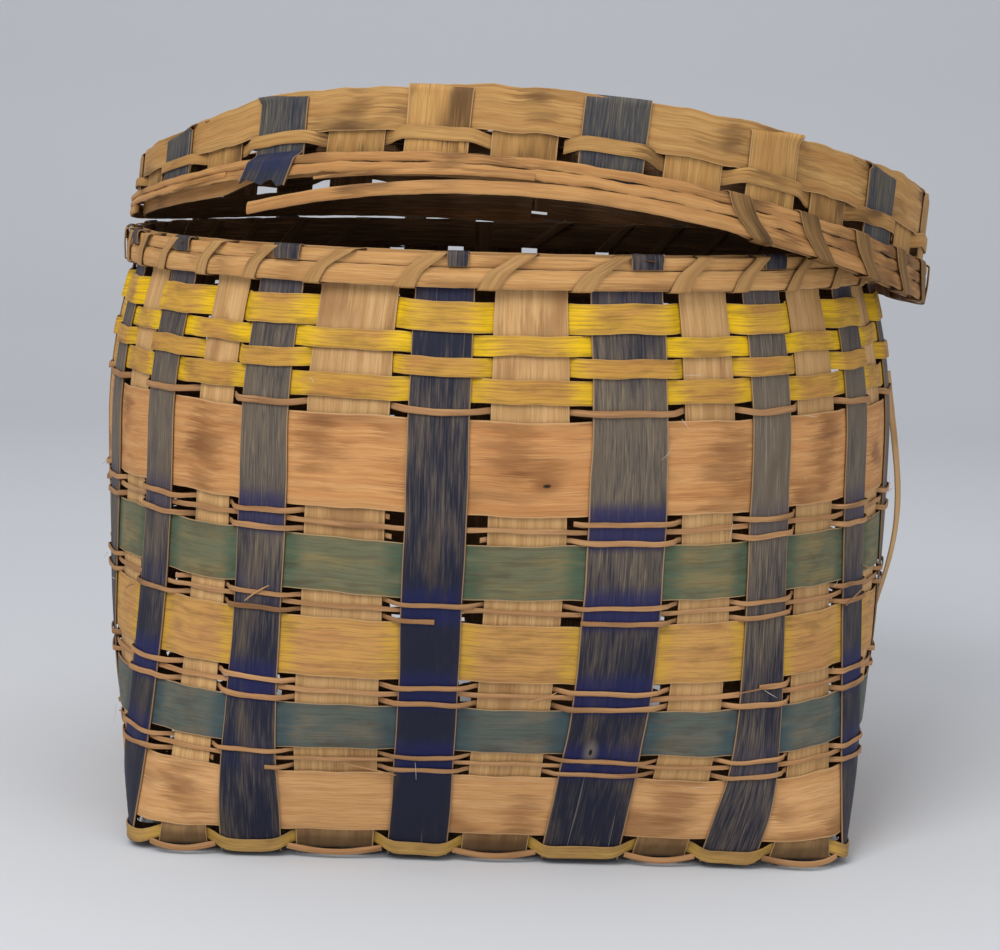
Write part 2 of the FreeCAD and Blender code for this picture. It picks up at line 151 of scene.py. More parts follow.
def level_curve(values, spans):
    """Follows the level of each span and eases from one span to the next; spans are (first, last, level)."""
    levels = np.full(np.shape(values), spans[0][2], float)
    for (first, last, level), (following, end, target) in zip(spans[:-1], spans[1:]):
        levels += (target - level) * smooth(last, following, values)
    return levels


def unit(vectors):
    """Vectors at length one."""
    return vectors / np.linalg.norm(vectors, axis=-1, keepdims=True)


def distances(points):
    """Distance along a path to each of its points."""
    return np.concatenate([[0], np.cumsum(np.linalg.norm(np.diff(points, axis=0), axis=-1))])


def drawn_out(knots, steps):
    """A table of knots with more rows worked out between its own."""
    places = np.linspace(0, len(knots) - 1, (len(knots) - 1) * steps + 1)
    return np.stack([np.interp(places, np.arange(len(knots)), column) for column in knots.T], -1)


def soften(values, rounds):
    """Rounds off the corners of a path."""
    for _ in range(rounds):
        values = np.concatenate([values[:1], (values[:-2] + 2 * values[1:-1] + values[2:]) / 4, values[-1:]])
    return values


# The woven cups

def outline_point(half, corner, quarters):
    """Points and outward ways on a rounded square; quarters run from the front's middle to the right."""
    flat = 2 * (half - corner)
    side_length = flat + np.pi / 2 * corner
    along = np.mod(quarters, 4.0) * side_length + flat / 2
    side = np.floor(along / side_length)
    rest = along - side * side_length
    angle = np.where(rest < flat, 0.0, (rest - flat) / corner)
    straight = np.where(rest < flat, rest - flat / 2, flat / 2)
    x = straight + np.sin(angle) * corner
    y = -flat / 2 - np.cos(angle) * corner
    turn = side * np.pi / 2
    cos, sin = np.cos(turn), np.sin(turn)
    points = np.stack([x * cos - y * sin, x * sin + y * cos, np.zeros_like(x)], -1)
    normals = np.stack([np.sin(angle + turn), -np.cos(angle + turn), np.zeros_like(x)], -1)
    return points, normals


class Cup:
    """A woven cup: a wall of uprights and rows that folds into a floor."""

    def wall(self, quarters, height, offset):
        """Points on the wall at an offset from its middle, and the outward directions there."""
        quarters, height = np.broadcast_arrays(np.asarray(quarters, float), np.asarray(height, float))
        points, normals = outline_point(*self.outline(quarters, height))
        points = points + normals * np.asarray(offset, float)[..., None]
        points[..., 2] = height
        return points, normals


class BodyCup(Cup):
    """The basket's own wall: square at the foot, round above the belly, with a slight twist."""
    body = "basket"
    fold_height = FOLD_HEIGHT
    floor = BASE_MIDDLE
    floor_way = -1
    slim_share = BLUE_SLIM_SHARE
    quarter = 2 * (BASE_HALF - BASE_CORNER) + np.pi / 2 * BASE_CORNER

    def outline(self, quarters, height):
        """Half width, corner radius and leaning place around, at each height."""
        share = np.clip((height - FOLD_HEIGHT) / (BELLY_HEIGHT - FOLD_HEIGHT), 0, 1)
        rise = 1 - (1 - share) ** 2
        over = np.clip((np.minimum(height, NECK_HEIGHT) - BELLY_HEIGHT) / (NECK_HEIGHT - BELLY_HEIGHT), 0, 1)
        draw_in = (BELLY_HALF - RIM_MID_RADIUS) * over ** 2
        half = BASE_HALF + (BELLY_HALF - BASE_HALF) * rise - draw_in
        corner = BASE_CORNER + (BELLY_HALF - BASE_CORNER) * rise - draw_in
        lean = (WALL_TWIST + WALL_SPREAD * np.sin(np.pi * quarters)) * rise
        return half, corner, quarters + lean

    def place(self, points):
        """From the basket's own axis to the frame."""
        return points + np.array(STANCE)


class LidCup(Cup):
    """The lid's skirt and top, round, then warped and laid askew."""
    body = "lid"
    fold_height = LID_HEIGHT - LID_FOLD
    floor = LID_HEIGHT - BASE_MIDDLE
    floor_way = 1
    slim_share = 0.0
    quarter = np.pi / 2 * LID_RADIUS
    turned = (Matrix.Rotation(LID_ROLL, 3, "Y") @ Matrix.Rotation(-LID_PITCH, 3, "X")
              @ Matrix.Rotation(LID_TURN, 3, "Z"))

    def outline(self, quarters, height):
        """A circle at every height."""
        radius = np.full(quarters.shape, LID_RADIUS)
        return radius, radius, quarters

    def place(self, points):
        """Warp, lay askew and move to the frame."""
        x, y, z = points[..., 0], points[..., 1], points[..., 2]
        taller = 1 + LID_LEAN / LID_HEIGHT * x / LID_RADIUS
        warp = LID_WARP * (y ** 2 - x ** 2) / LID_RADIUS ** 2
        droop = LID_BACK_DROOP * np.maximum(y, 0) ** 2 / LID_RADIUS ** 2
        beaten = LID_BEATEN * smooth(*BEATEN_SHARES, -x / LID_RADIUS) * z / LID_HEIGHT
        bent = np.stack([x, y, z * taller + warp - droop - beaten], -1)
        return bent @ np.array(self.turned).T + np.array(LID_SEAT + STANCE)


body_cup = BodyCup()
lid_cup = LidCup()


def row_places(widths):
    """Middles of splints side by side with equal gaps, measured from the middle of the row."""
    edge = -(sum(widths) + UPRIGHT_GAP * (len(widths) - 1)) / 2
    places = []
    for width in widths:
        places.append(edge + width / 2)
        edge += width + UPRIGHT_GAP
    return places


def lid_uprights(count, first_outside):
    """The lid's splints, eight to a quarter, narrower towards the sides."""
    found = []
    for index in range(count):
        step = index - count // 2
        width = LID_SPLINT_WIDTH * math.sqrt(math.cos(step * math.pi / 16))
        found.append((step / 8, width, (index % 2 == 0) == first_outside))
    return found


# Each upright as (place in quarters, width, whether it lies outside)
BODY_FRONT = [((place + FRONT_SHIFT) / body_cup.quarter, width, index % 2 == 1) for index, (place, width)
              in enumerate(zip(row_places(FRONT_WIDTHS), FRONT_WIDTHS))]
BODY_SIDE = [(place / body_cup.quarter, SIDE_WIDTH, index % 2 == 0) for index, place
             in enumerate(row_places([SIDE_WIDTH] * SIDE_COUNT))]
LID_FRONT = lid_uprights(9, False)
LID_SIDE = lid_uprights(7, True)


def around(cup, front, side):
    """Both edges of every upright in order around the wall, from the back round to the back again."""
    found = []
    for face, group in enumerate((front, side, front, side)):
        for place, width, outside in group:
            middle = face + (place if face < 2 else -place)
            reach = width / 2 / cup.quarter
            found.append((middle - reach, middle + reach, outside))
    found.sort()
    late = [edge for edge in found if edge[0] >= 2]
    early = [(left + 4, right + 4, outside) for left, right, outside in found if left < 2]
    return late + early


body_cup.edges = around(body_cup, BODY_FRONT, BODY_SIDE)
lid_cup.edges = around(lid_cup, LID_FRONT, LID_SIDE)


def gaps_between(edges):
    """Middles of the gaps between neighbouring uprights."""
    return [(left[1] + right[0]) / 2 for left, right in zip(edges[:-1], edges[1:])]


# Strips

def strip(name, cup, outer, inner, along, across, material, seed, width, node=None, front=1.0, **marks):
    """A closed thin strip between two grids of points; front is 1 where its outer face shows, and where the
    face mark is 0 the material paints shade.
    """
    outer, inner = cup.place(outer), cup.place(inner)
    rows, columns = outer.shape[:2]
    points = np.concatenate([outer.reshape(-1, 3), inner.reshape(-1, 3)])
    count = rows * columns
    index = np.arange(count).reshape(rows, columns)
    quads = np.stack([index[:-1, :-1], index[:-1, 1:], index[1:, 1:], index[1:, :-1]], -1).reshape(-1, 4)
    border = np.concatenate([index[:-1, 0], index[-1, :-1], index[:0:-1, -1], index[0, :0:-1]])
    rim = np.stack([border, np.roll(border, -1)], -1)
    walls = np.stack([rim[:, 1], rim[:, 0], rim[:, 0] + count, rim[:, 1] + count], -1)
    faces = np.concatenate([quads, quads[:, ::-1] + count, walls[:, ::-1]])
    row, column = rows // 2, columns // 2
    centre = outer[row, column]
    facing = np.cross(centre - outer[row, column - 1], outer[row - 1, column] - centre)
    if np.dot(facing, centre - inner[row, column]) > 0:
        faces = faces[:, ::-1]
    mesh = bpy.data.meshes.new(name)
    mesh.from_pydata(points.tolist(), [], faces.tolist())
    mesh.update()
    mesh.shade_smooth()
    mesh.set_sharp_from_angle(angle=SHARP_ANGLE)
    stored = {"along": along[:, None], "across": across, "seed": seed % SEED_CYCLE, "width": width, **marks}
    for key, values in stored.items():
        add_mark(mesh, key, np.broadcast_to(values, (rows, columns)), 1.0)
    add_mark(mesh, "face", np.broadcast_to(front, (rows, columns)), 0.0)
    mesh.materials.append(bpy.data.materials[material])
    piece = bpy.data.objects.new(name, mesh)
    bpy.context.scene.collection.objects.link(piece)
    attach(piece, cup.body)
    if node is not None:
        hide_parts(node)


def add_mark(mesh, name, values, inner_share):
    """Store a number at each point of a strip's outer face, and a share of it on the inner face."""
    values = values.reshape(-1)
    attribute = mesh.attributes.new(name, "FLOAT", "POINT")
    attribute.data.foreach_set("value", np.concatenate([values, inner_share * values]).astype(np.float32))


def thickness(across):
    """Half the thickness across a strip, with softened edges."""
    return SPLINT_THICK / 2 * (1 - 0.35 * smooth(0.9, 1.0, np.abs(across)))


def across_steps(count):
    """Places across a strip from -1 to 1, with one close to each edge."""
    return np.concatenate([[-1.0], np.linspace(-0.95, 0.95, count - 2), [1.0]])


def wall_half(cup, middle, into, sign, width, offset, level, top, across, floor_across):
    """One end of an upright: down the wall and round the fold, with its outward ways and half widths."""
    down = cup.floor_way * UP
    reach = width / 2 / cup.quarter
    heights = np.linspace(top, cup.fold_height, max(int(abs(top - cup.fold_height) / STRIP_STEP), 8))
    left = cup.wall(middle - reach, heights, 0.0)[0]
    right = cup.wall(middle + reach, heights, 0.0)[0]
    chord = unit(right - left)
    outward = unit(np.cross(chord, UP))
    curved = cup.wall(middle + sign * reach * across, heights[:, None], offset)[0]
    centres = cup.wall(middle, heights, offset)[0]
    half = np.linalg.norm(right - left, axis=-1) / 2
    slant = abs(chord[-1] @ into) * width / 2
    corner = centres[-1].copy()
    corner[2] = cup.floor + cup.floor_way * level
    start = corner + into * (FOLD_BEVEL + offset + OUTMOST + slant)
    share = np.linspace(0, 1, BEND_STEPS + 1)[1:, None]
    bend = (1 - share) ** 2 * centres[-1] + 2 * share * (1 - share) * corner + share ** 2 * start
    bend_across = unit(chord[-1] * (1 - share) + floor_across * sign * share)
    bend_out = unit(outward[-1] * (1 - share) + down * share)
    flat = bend[:, None] + (bend_across * sign)[:, None] * (across * width / 2)[:, None]
    hollow = curved[-1] - (centres[-1] + (chord[-1] * sign) * (across * half[-1])[:, None])
    flat = flat + hollow * ((1 - share) ** 2)[..., None]
    half_widths = np.concatenate([half, np.full(BEND_STEPS, width / 2)])
    return np.concatenate([curved, flat]), np.concatenate([outward, bend_out]), half_widths, bend[-1]


def upright_path(cup, face, upright, crossings, top, across):
    """Points across and along one upright, wall to wall, with its outward directions and half widths."""
    place, width, outside = upright
    offset = OUTER if outside else INNER
    level = MIDDLE if face == 1 and outside else offset
    turn = np.array(Matrix.Rotation(face * math.pi / 2, 3, "Z"))
    floor_across, travel = turn @ np.array([1.0, 0, 0]), turn @ np.array([0, 1.0, 0])
    near, far = [wall_half(cup, middle, into, sign, width, offset, level, top, across, floor_across)
                 for middle, into, sign in ((face + place, travel, 1), (face + 2 - place, -travel, -1))]
    first, last = near[3] @ travel, far[3] @ travel
    steps = np.linspace(first, last, int((last - first) / STRIP_STEP))[1:-1]
    spans = [(first - 1, first, level)]
    for low, high, crossed_outside in crossings:
        if face == 1 and not outside:
            spans.append((low, high, OUTMOST if crossed_outside else INMOST))
    spans.append((last, last + 1, level))
    rise = cup.floor + cup.floor_way * level_curve(steps, spans)
    lane = floor_across * (near[3] @ floor_across)
    floor = lane + steps[:, None] * travel + rise[:, None] * UP
    floor = floor[:, None] + floor_across * (across * width / 2)[:, None]
    points = np.concatenate([near[0], floor, far[0][::-1]])
    outs = np.concatenate([near[1], np.tile(cup.floor_way * UP, (len(steps), 1)), far[1][::-1]])
    half_widths = np.concatenate([near[2], np.full(len(steps), width / 2), far[2][::-1]])
    return points, outs, half_widths


def crossings_of(cup, group, face):
    """Where a set of splints lies on the floor, for the set that crosses it."""
    found = []
    for place, width, outside in group:
        foot = cup.wall(face + place, cup.fold_height, OUTER if outside else INNER)[0]
        along = foot[1] if face == 1 else -foot[0]
        found.append((along - width / 2, along + width / 2, outside))
    return sorted(found)


def add_upright(cup, node, face, upright, crossings, top, material, marks_of, seed):
    """One upright splint, slightly irregular in width; those outside are slimmer above the foot."""
    across = across_steps(9)
    points, outs, half_widths = upright_path(cup, face, upright, crossings, top, across)
    middles = points[:, len(across) // 2]
    lengths = distances(middles)
    left, right = [1 + UPRIGHT_WAVE_SHARE * wobble(lengths, wave, seed + side)
                   for side, wave in enumerate(UPRIGHT_WAVES)]
    slim = 1 - cup.slim_share * smooth(0.0, SLIM_HEIGHT, middles[:, 2:]) if upright[2] else 1.0
    scale = np.where(across < 0, left[:, None], right[:, None]) * slim
    middle = middles[:, None] + (points - middles[:, None]) * scale[..., None]
    half_thick = outs[:, None] * thickness(across)[:, None]
    strip(node, cup, middle + half_thick, middle - half_thick, lengths, across, material, seed,
          half_widths[:, None], node, **marks_of(middle, outs))


def band_offsets(quarters, edges, over):
    """Offset of a row through the weave as it passes the uprights."""
    spans = []
    left, right, outside = edges[0]
    for left, right, outside in [*edges, (left + 4, right + 4, outside)]:
        level = MIDDLE
        if over:
            level = OUTMOST if outside else INMOST
        spans.append((left, right, level))
    return level_curve(quarters, spans)


def cover_distance(cup, quarters, over):
    """How far, in metres, a row's exposed places are from the uprights that cover it; negative under them."""
    distance = np.full(np.shape(quarters), 1.0)
    for left, right, outside in cup.edges:
        if outside != over:
            distance = np.minimum(distance, np.maximum(left - quarters, quarters - right) * cup.quarter)
    return distance


def steps_round(cup, first, last):
    """Places around from one to another, a step apart."""
    return np.linspace(first, last, int((last - first) * cup.quarter / STRIP_STEP))


def band(name, cup, quarters, edges, offsets, across, material, seed, node, **marks):
    """A strip round the wall between two edges, from the offsets of its outer and its inner face."""
    low, high = edges
    height = low[:, None] + (across + 1) / 2 * (high - low)[:, None]
    outer, inner = [cup.wall(quarters[:, None], height, offset)[0] for offset in offsets]
    strip(name, cup, outer, inner, quarters * cup.quarter, across, material, seed, node=node, **marks)


def add_weaver(cup, name, row, over, material, seed, node=None, columns=9, length=None, sag=0.0, ragged=0.0,
               bulge=0.0):
    """One row of the weave between two heights, or a length of it between two places around."""
    start = cup.edges[0][0]
    quarters = steps_round(cup, *(length or (start, start + 4)))
    lengths = quarters * cup.quarter
    across = across_steps(columns)
    hidden = cover_distance(cup, quarters, over)
    open_share = smooth(*OPEN_SPAN, hidden)
    offsets = (band_offsets(quarters, cup.edges, over) + bulge * open_share)[:, None]
    wander = ragged * wobble(lengths, ROW_WAVE, seed) - sag * open_share
    edges = [level + wander + ROW_EDGE_SHARE * ragged * wobble(lengths, wave, seed + side)
             for side, (level, wave) in enumerate(zip(row, ROW_EDGE_WAVES), start=1)]
    half_thick = thickness(across)
    band(name, cup, quarters, edges, (offsets + half_thick, offsets - half_thick), across, material, seed,
         node or name, width=(row[1] - row[0]) / 2, cover=np.clip(hidden, *COVER_SPAN)[:, None])


def unchanged(quarters):
    """No drop or lift anywhere round a hoop."""
    return np.zeros_like(quarters)


def hoop_band(cup, name, inside, outside, low, high, material, seed, node=None, ends=HOOP_ENDS,
              drop=unchanged, lift=unchanged, ragged=HOOP_RAGGED):
    """A solid band of a hoop, with softened edges."""
    quarters = steps_round(cup, *ends)
    lengths = quarters * cup.quarter
    across = across_steps(7)
    soft = HOOP_SOFT_SHARE * smooth(0.8, 1.0, np.abs(across)) * (outside - inside)
    fall = drop(quarters)
    low_edge = low + lift(quarters) - fall + ragged * wobble(lengths, HOOP_WAVES[0], seed)
    high_edge = high - fall + ragged * wobble(lengths, HOOP_WAVES[1], seed + 1)
    band(name, cup, quarters, (low_edge, high_edge), (outside - soft, inside + soft), across, material, seed,
         node or name, width=(high - low) / 2)


def ribbon(name, cup, path, half_width, material, seed, thick=SPLINT_THICK, node=None, columns=5, outward=1.0,
           lean=0.0):
    """A strip along a path of places around, heights and offsets, facing out of the wall or leaning."""
    points, normals = cup.wall(*path)
    ahead = unit(np.gradient(points, axis=0))
    across_ways = unit(np.cross(ahead, normals * outward + lean))
    outs = unit(np.cross(across_ways, ahead))
    lengths = distances(points)
    across = across_steps(columns)
    waves = 1 + RIBBON_WAVE_SHARE * wobble(lengths, RIBBON_WAVE, seed)
    half_widths = np.broadcast_to(half_width, lengths.shape) * waves
    middle = points[:, None] + across_ways[:, None] * (across * half_widths[:, None])[..., None]
    depth = outs[:, None] * (thickness(across) * thick / SPLINT_THICK)[:, None]
    strip(name, cup, middle + depth, middle - depth, lengths, across, material, seed, half_widths[:, None],
          node, wear=0.4, shelter=0.25)


# Materials

class Wood:
    """Builds the nodes of one procedural wood."""

    def __init__(self, name):
        material = bpy.data.materials.new(name)
        material.use_nodes = True
        self.tree = material.node_tree
        self.surface = self.tree.nodes["Principled BSDF"].inputs
        self.along, self.seed = self.mark("along"), self.mark("seed")
        self.aside = self.times(self.mark("across"), self.mark("width"))
        fibres, fine = self.grain(*FIBRE_GRAIN), self.grain(*FINE_GRAIN)
        self.lines = self.plus(self.times(fibres, 0.62), self.times(fine, 0.38))
        self.bands = self.grain(*BAND_GRAIN)

    def node(self, kind, inputs, **settings):
        """Outputs of a new node with its settings, and its inputs set or linked."""
        made = self.tree.nodes.new(kind)
        for key, value in settings.items():
            setattr(made, key, value)
        for key, value in inputs.items():
            self.feed(made.inputs[key], value)
        return made.outputs

    def feed(self, socket, value):
        """Link or set one input."""
        if isinstance(value, bpy.types.NodeSocket):
            self.tree.links.new(value, socket)
        else:
            socket.default_value = value

    def mark(self, name):
        """A stored number of the mesh."""
        return self.node("ShaderNodeAttribute", {}, attribute_name=name)["Fac"]

    def math(self, operation, first, second=0.0):
        """Arithmetic on two numbers."""
        return self.node("ShaderNodeMath", {0: first, 1: second}, operation=operation)[0]

    def times(self, first, second):
        """Product."""
        return self.math("MULTIPLY", first, second)

    def plus(self, first, second):
        """Sum."""
        return self.math("ADD", first, second)

    def minus(self, first, second):
        """Difference."""
        return self.math("SUBTRACT", first, second)

    def grade(self, value, low, high):
        """Goes softly from 0 at low to 1 at high."""
        span = {"Value": value, "From Min": low, "From Max": high}
        return self.node("ShaderNodeMapRange", span, interpolation_type="SMOOTHSTEP")["Result"]

    def fade(self, value, low, high):
        """Goes softly from 1 at low to 0 at high."""
        return self.minus(1.0, self.grade(value, low, high))

    def sway(self, value, strength):
        """A noise's departure from its middle, times a strength."""
        return self.times(self.minus(value, 0.5), strength)

    def noise(self, x, y, z, detail=3.0):
        """Noise at a place that is already scaled."""
        place = self.node("ShaderNodeCombineXYZ", {0: x, 1: y, 2: z})[0]
        inputs = {"Vector": place, "Scale": 1.0, "Detail": detail, "Roughness": 0.55}
        return self.node("ShaderNodeTexNoise", inputs)["Fac"]

    def mix(self, share, first, second):
        """Colours mixed by a share."""
        return self.node("ShaderNodeMix", {0: share, 6: first, 7: second}, data_type="RGBA")[2]

    def tint(self, tone, other, value, low, high, strength):
        """A tone moved towards another as a value goes from low to high."""
        return self.mix(self.times(self.grade(value, low, high), strength), tone, other)

    def grain(self, long_scale, cross_scale, shift):
        """Noise drawn out along the strip, from places in metres times the scales."""
        return self.noise(self.times(self.along, long_scale), self.times(self.aside, cross_scale),
                          self.plus(self.times(self.seed, 3.7), shift))

    def distance(self, place, rise, along_share, across_share):
        """Distance from a place on the strip, with each direction drawn out by its own share."""
        along = self.times(self.minus(self.along, place), along_share)
        across = self.times(self.minus(self.aside, rise), across_share)
        return self.math("SQRT", self.plus(self.times(along, along), self.times(across, across)))

    def knotted(self, tone, place, rise, heart, ring):
        """A small dark knot with a halo drawn out along the grain around it."""
        distance = self.distance(place, rise, 0.55, 1.0)
        tone = self.mix(self.times(self.fade(distance, *KNOT_HALO), 0.6), tone, ring)
        return self.mix(self.fade(distance, *KNOT_CORE), tone, heart)

    def stained(self, tone, place, rise, reach, stain):
        """One dark stain with feathered edges."""
        ragged = self.sway(self.grain(*STAIN_GRAIN), reach * 3.2)
        distance = self.plus(self.distance(place, rise, 1.0, 0.7), ragged)
        return self.mix(self.times(self.fade(distance, 0.0, reach * 1.3), 0.5), tone, stain)

    def finish(self, tone, rough, edge_share=0.6):
        """Set the colour, with painted contact shade and grime near the long edges, pale on the cut edges and
        painted shade on the inner face; take relief from the grain.
        """
        edge = self.math("ABSOLUTE", self.mark("across"))
        # Darker towards the long edges of each strip: painted contact shade, partly grime
        tone = self.tint(tone, GRIME_AND_SHADE, edge, 0.72, 0.95, 0.13)
        tone = self.tint(tone, CUT_EDGE, edge, 0.955, 0.985, edge_share)
        fibre_share = self.times(self.grade(self.lines, 0.4, 0.62), self.grade(self.bands, 0.2, 0.7))
        # Painted shade: inner faces, and the lashing where it runs inside the hoops, take a dark wood tone
        # with its grain
        tone = self.mix(self.mark("face"), self.mix(fibre_share, INSIDE_SHADE, INSIDE_SHADE_FIBRE), tone)
        self.feed(self.surface["Base Color"], tone)
        relief = self.plus(self.lines, self.times(self.bands, 0.6))
        bump = self.node("ShaderNodeBump", {"Height": relief, "Strength": 0.4, "Distance": RELIEF_DEPTH})
        self.feed(self.surface["Normal"], bump[0])
        span = {"Value": self.lines, "To Min": rough - 0.08, "To Max": rough + 0.12}
        self.feed(self.surface["Roughness"], self.node("ShaderNodeMapRange", span)["Result"])
        self.surface["Specular IOR Level"].default_value = 0.25


# Patterns of the wood: waves per metre along and across the strip, and a shift that tells them apart
FIBRE_GRAIN = (36.0, 1150.0, 11.0)
FINE_GRAIN = (95.0, 1700.0, 17.0)
BAND_GRAIN = (8.0, 280.0, 0.0)
CRACK_GRAIN = (9.0, 330.0, 71.0)
STAIN_GRAIN = (46.0, 330.0, 83.0)
RUB_GRAIN = (38.0, 130.0, 41.0)
SOIL_GRAIN = (55.0, 170.0, 53.0)
STREAK_GRAIN = (62.0, 1100.0, 31.0)
PATCH_GRAIN = (24.0, 80.0, 47.0)
SCRATCH_GRAIN = (7.0, 700.0, 61.0)

# Distances over which a knot's halo and its heart fade, and depth of the grain's relief, in metres
KNOT_HALO, KNOT_CORE = (0.0008, 0.0050), (0.0005, 0.0012)
RELIEF_DEPTH = 0.0005

# Painted shade for the inner faces of the strips, plain and along the grain
INSIDE_SHADE, INSIDE_SHADE_FIBRE = colour((92, 64, 40)), colour((140, 102, 66))
CUT_EDGE = colour((212, 170, 120))
# Dark brown for real grime, soil and cracks, and for painted shade at strip edges and at the foot
GRIME_AND_SHADE = colour((66, 46, 28))
KNOT_HEART = colour((46, 30, 18))
BLUE_KNOT_HEART, BLUE_KNOT_RING = colour((12, 10, 10)), colour((132, 120, 104))
BLUE_FLECK, BLUE_BARE, BLUE_SCRATCH = colour((176, 152, 116)), colour((84, 68, 50)), colour((176, 160, 138))


def plain_splint(name, tones, stain_share, knot=None, edge_share=0.6, crack_share=0.35, stains=()):
    """Undyed wood in a pale, a plain, a dark and a stain tone, with straight grain, cracks and stains."""
    pale, plain, dark, stain = [colour(shade) for shade in tones]
    wood = Wood(name)
    tone = wood.mix(wood.grade(wood.bands, 0.3, 0.7), plain, pale)
    tone = wood.tint(tone, dark, wood.lines, 0.42, 0.62, 0.36)
    pick = wood.noise(wood.times(wood.seed, 7.31), 0.5, 0.5, 0.0)
    tone = wood.tint(tone, GRIME_AND_SHADE, pick, 0.3, 0.7, 0.16)
    tone = wood.tint(tone, GRIME_AND_SHADE, wood.grain(*CRACK_GRAIN), 0.725, 0.745, crack_share)
    feathered = wood.plus(wood.times(wood.along, 24.0), wood.times(wood.lines, 1.1))
    spot = wood.noise(feathered, wood.times(wood.aside, 48.0), wood.times(wood.seed, 5.3), 2.0)
    tone = wood.tint(tone, stain, spot, 0.5, 0.72, stain_share)
    for place, rise, reach in stains:
        tone = wood.stained(tone, place, rise, reach, stain)
    if knot is not None:
        tone = wood.knotted(tone, *knot, KNOT_HEART, stain)
    # Painted shade: natural uprights go dark near the foot of the basket
    tone = wood.mix(wood.times(wood.mark("foot"), 0.85), tone, GRIME_AND_SHADE)
    wood.finish(tone, 0.62, edge_share)


def dyed_weaver(name, tones, bare_share, fresh_reach):
    """A dyed row in a faded, a fresh and a bare tone, fresh beside the uprights that cover it."""
    faded, fresh, bare = [colour(shade) for shade in tones]
    wood = Wood(name)
    rub = wood.grain(*RUB_GRAIN)
    cover = wood.plus(wood.mark("cover"), wood.sway(wood.lines, 0.02))
    fresh_share = wood.times(wood.fade(cover, 0.001, fresh_reach), wood.grade(rub, 0.15, 0.5))
    dye = wood.tint(faded, bare, rub, 0.42, 0.68, bare_share)
    dye = wood.mix(fresh_share, dye, fresh)
    dye = wood.tint(dye, GRIME_AND_SHADE, wood.lines, 0.44, 0.62, 0.3)
    dye = wood.tint(dye, GRIME_AND_SHADE, wood.grain(*SOIL_GRAIN), 0.48, 0.75, 0.34)
    dye = wood.tint(dye, bare, wood.bands, 0.52, 0.75, 0.3)
    wood.finish(dye, 0.58)


def indigo_splint(name, tones, knot=None):
    """A blue upright in a deep, a worn and a vivid tone, vivid where rows shelter it."""
    deep, worn, vivid = [colour(shade) for shade in tones]
    wood = Wood(name)
    streak, patch = wood.grain(*STREAK_GRAIN), wood.grain(*PATCH_GRAIN)
    wear = wood.plus(wood.mark("wear"), wood.sway(patch, 1.0))
    tone = wood.mix(wood.grade(wood.plus(wear, wood.sway(streak, 1.3)), 0.05, 1.1), deep, worn)
    fleck = wood.times(wood.grade(wood.lines, 0.52, 0.64), wood.grade(wear, 0.0, 0.8))
    tone = wood.mix(wood.times(fleck, 0.40), tone, BLUE_FLECK)
    tone = wood.tint(tone, BLUE_BARE, patch, 0.5, 0.7, 0.3)
    sheltered = wood.plus(wood.mark("shelter"), wood.sway(streak, 0.8))
    tone = wood.tint(tone, vivid, sheltered, 0.2, 1.0, 0.85)
    tone = wood.tint(tone, BLUE_SCRATCH, wood.grain(*SCRATCH_GRAIN), 0.7, 0.73, 0.4)
    if knot is not None:
        tone = wood.knotted(tone, *knot, BLUE_KNOT_HEART, BLUE_KNOT_RING)
    wood.finish(tone, 0.58, 0.5)


def on_front(index, aside):
    """Place along a row, measured from the middle of a front upright."""
    return (4 + BODY_FRONT[index - 1][0]) * body_cup.quarter + aside


# Knots as (place along, rise above the strip's middle); stains have their reach as well
WIDE_KNOT = (on_front(5, 0.007), -0.007)
BLUE_KNOT = (0.2295, -0.006)
UPPER_STAINS = ((on_front(1, -0.004), -0.004, 0.016), (on_front(3, -0.012), 0.008, 0.012),
                (on_front(5, -0.008), 0.015, 0.012), (on_front(7, 0.010), 0.004, 0.016),
                (on_front(9, 0.004), 0.002, 0.013))
LOWER_STAINS = ((on_front(1, 0.0), 0.004, 0.013), (on_front(5, 0.010), -0.006, 0.010),
                (on_front(7, -0.002), 0.006, 0.012))
LID_STAINS = [(place * lid_cup.quarter, rise, reach) for place, rise, reach
              in ((4.40, -0.001, 0.020), (4.30, 0.004, 0.008), (3.75, -0.004, 0.009), (4.02, 0.007, 0.008))]
HOOP_STAINS = [(place * lid_cup.quarter, 0.0, reach) for place, reach
               in ((4.56, 0.016), (4.66, 0.02), (4.78, 0.02), (0.64, 0.018), (0.76, 0.022), (3.9, 0.008))]
BLUE_TONES = ((26, 29, 48), (116, 103, 88), (25, 29, 84))

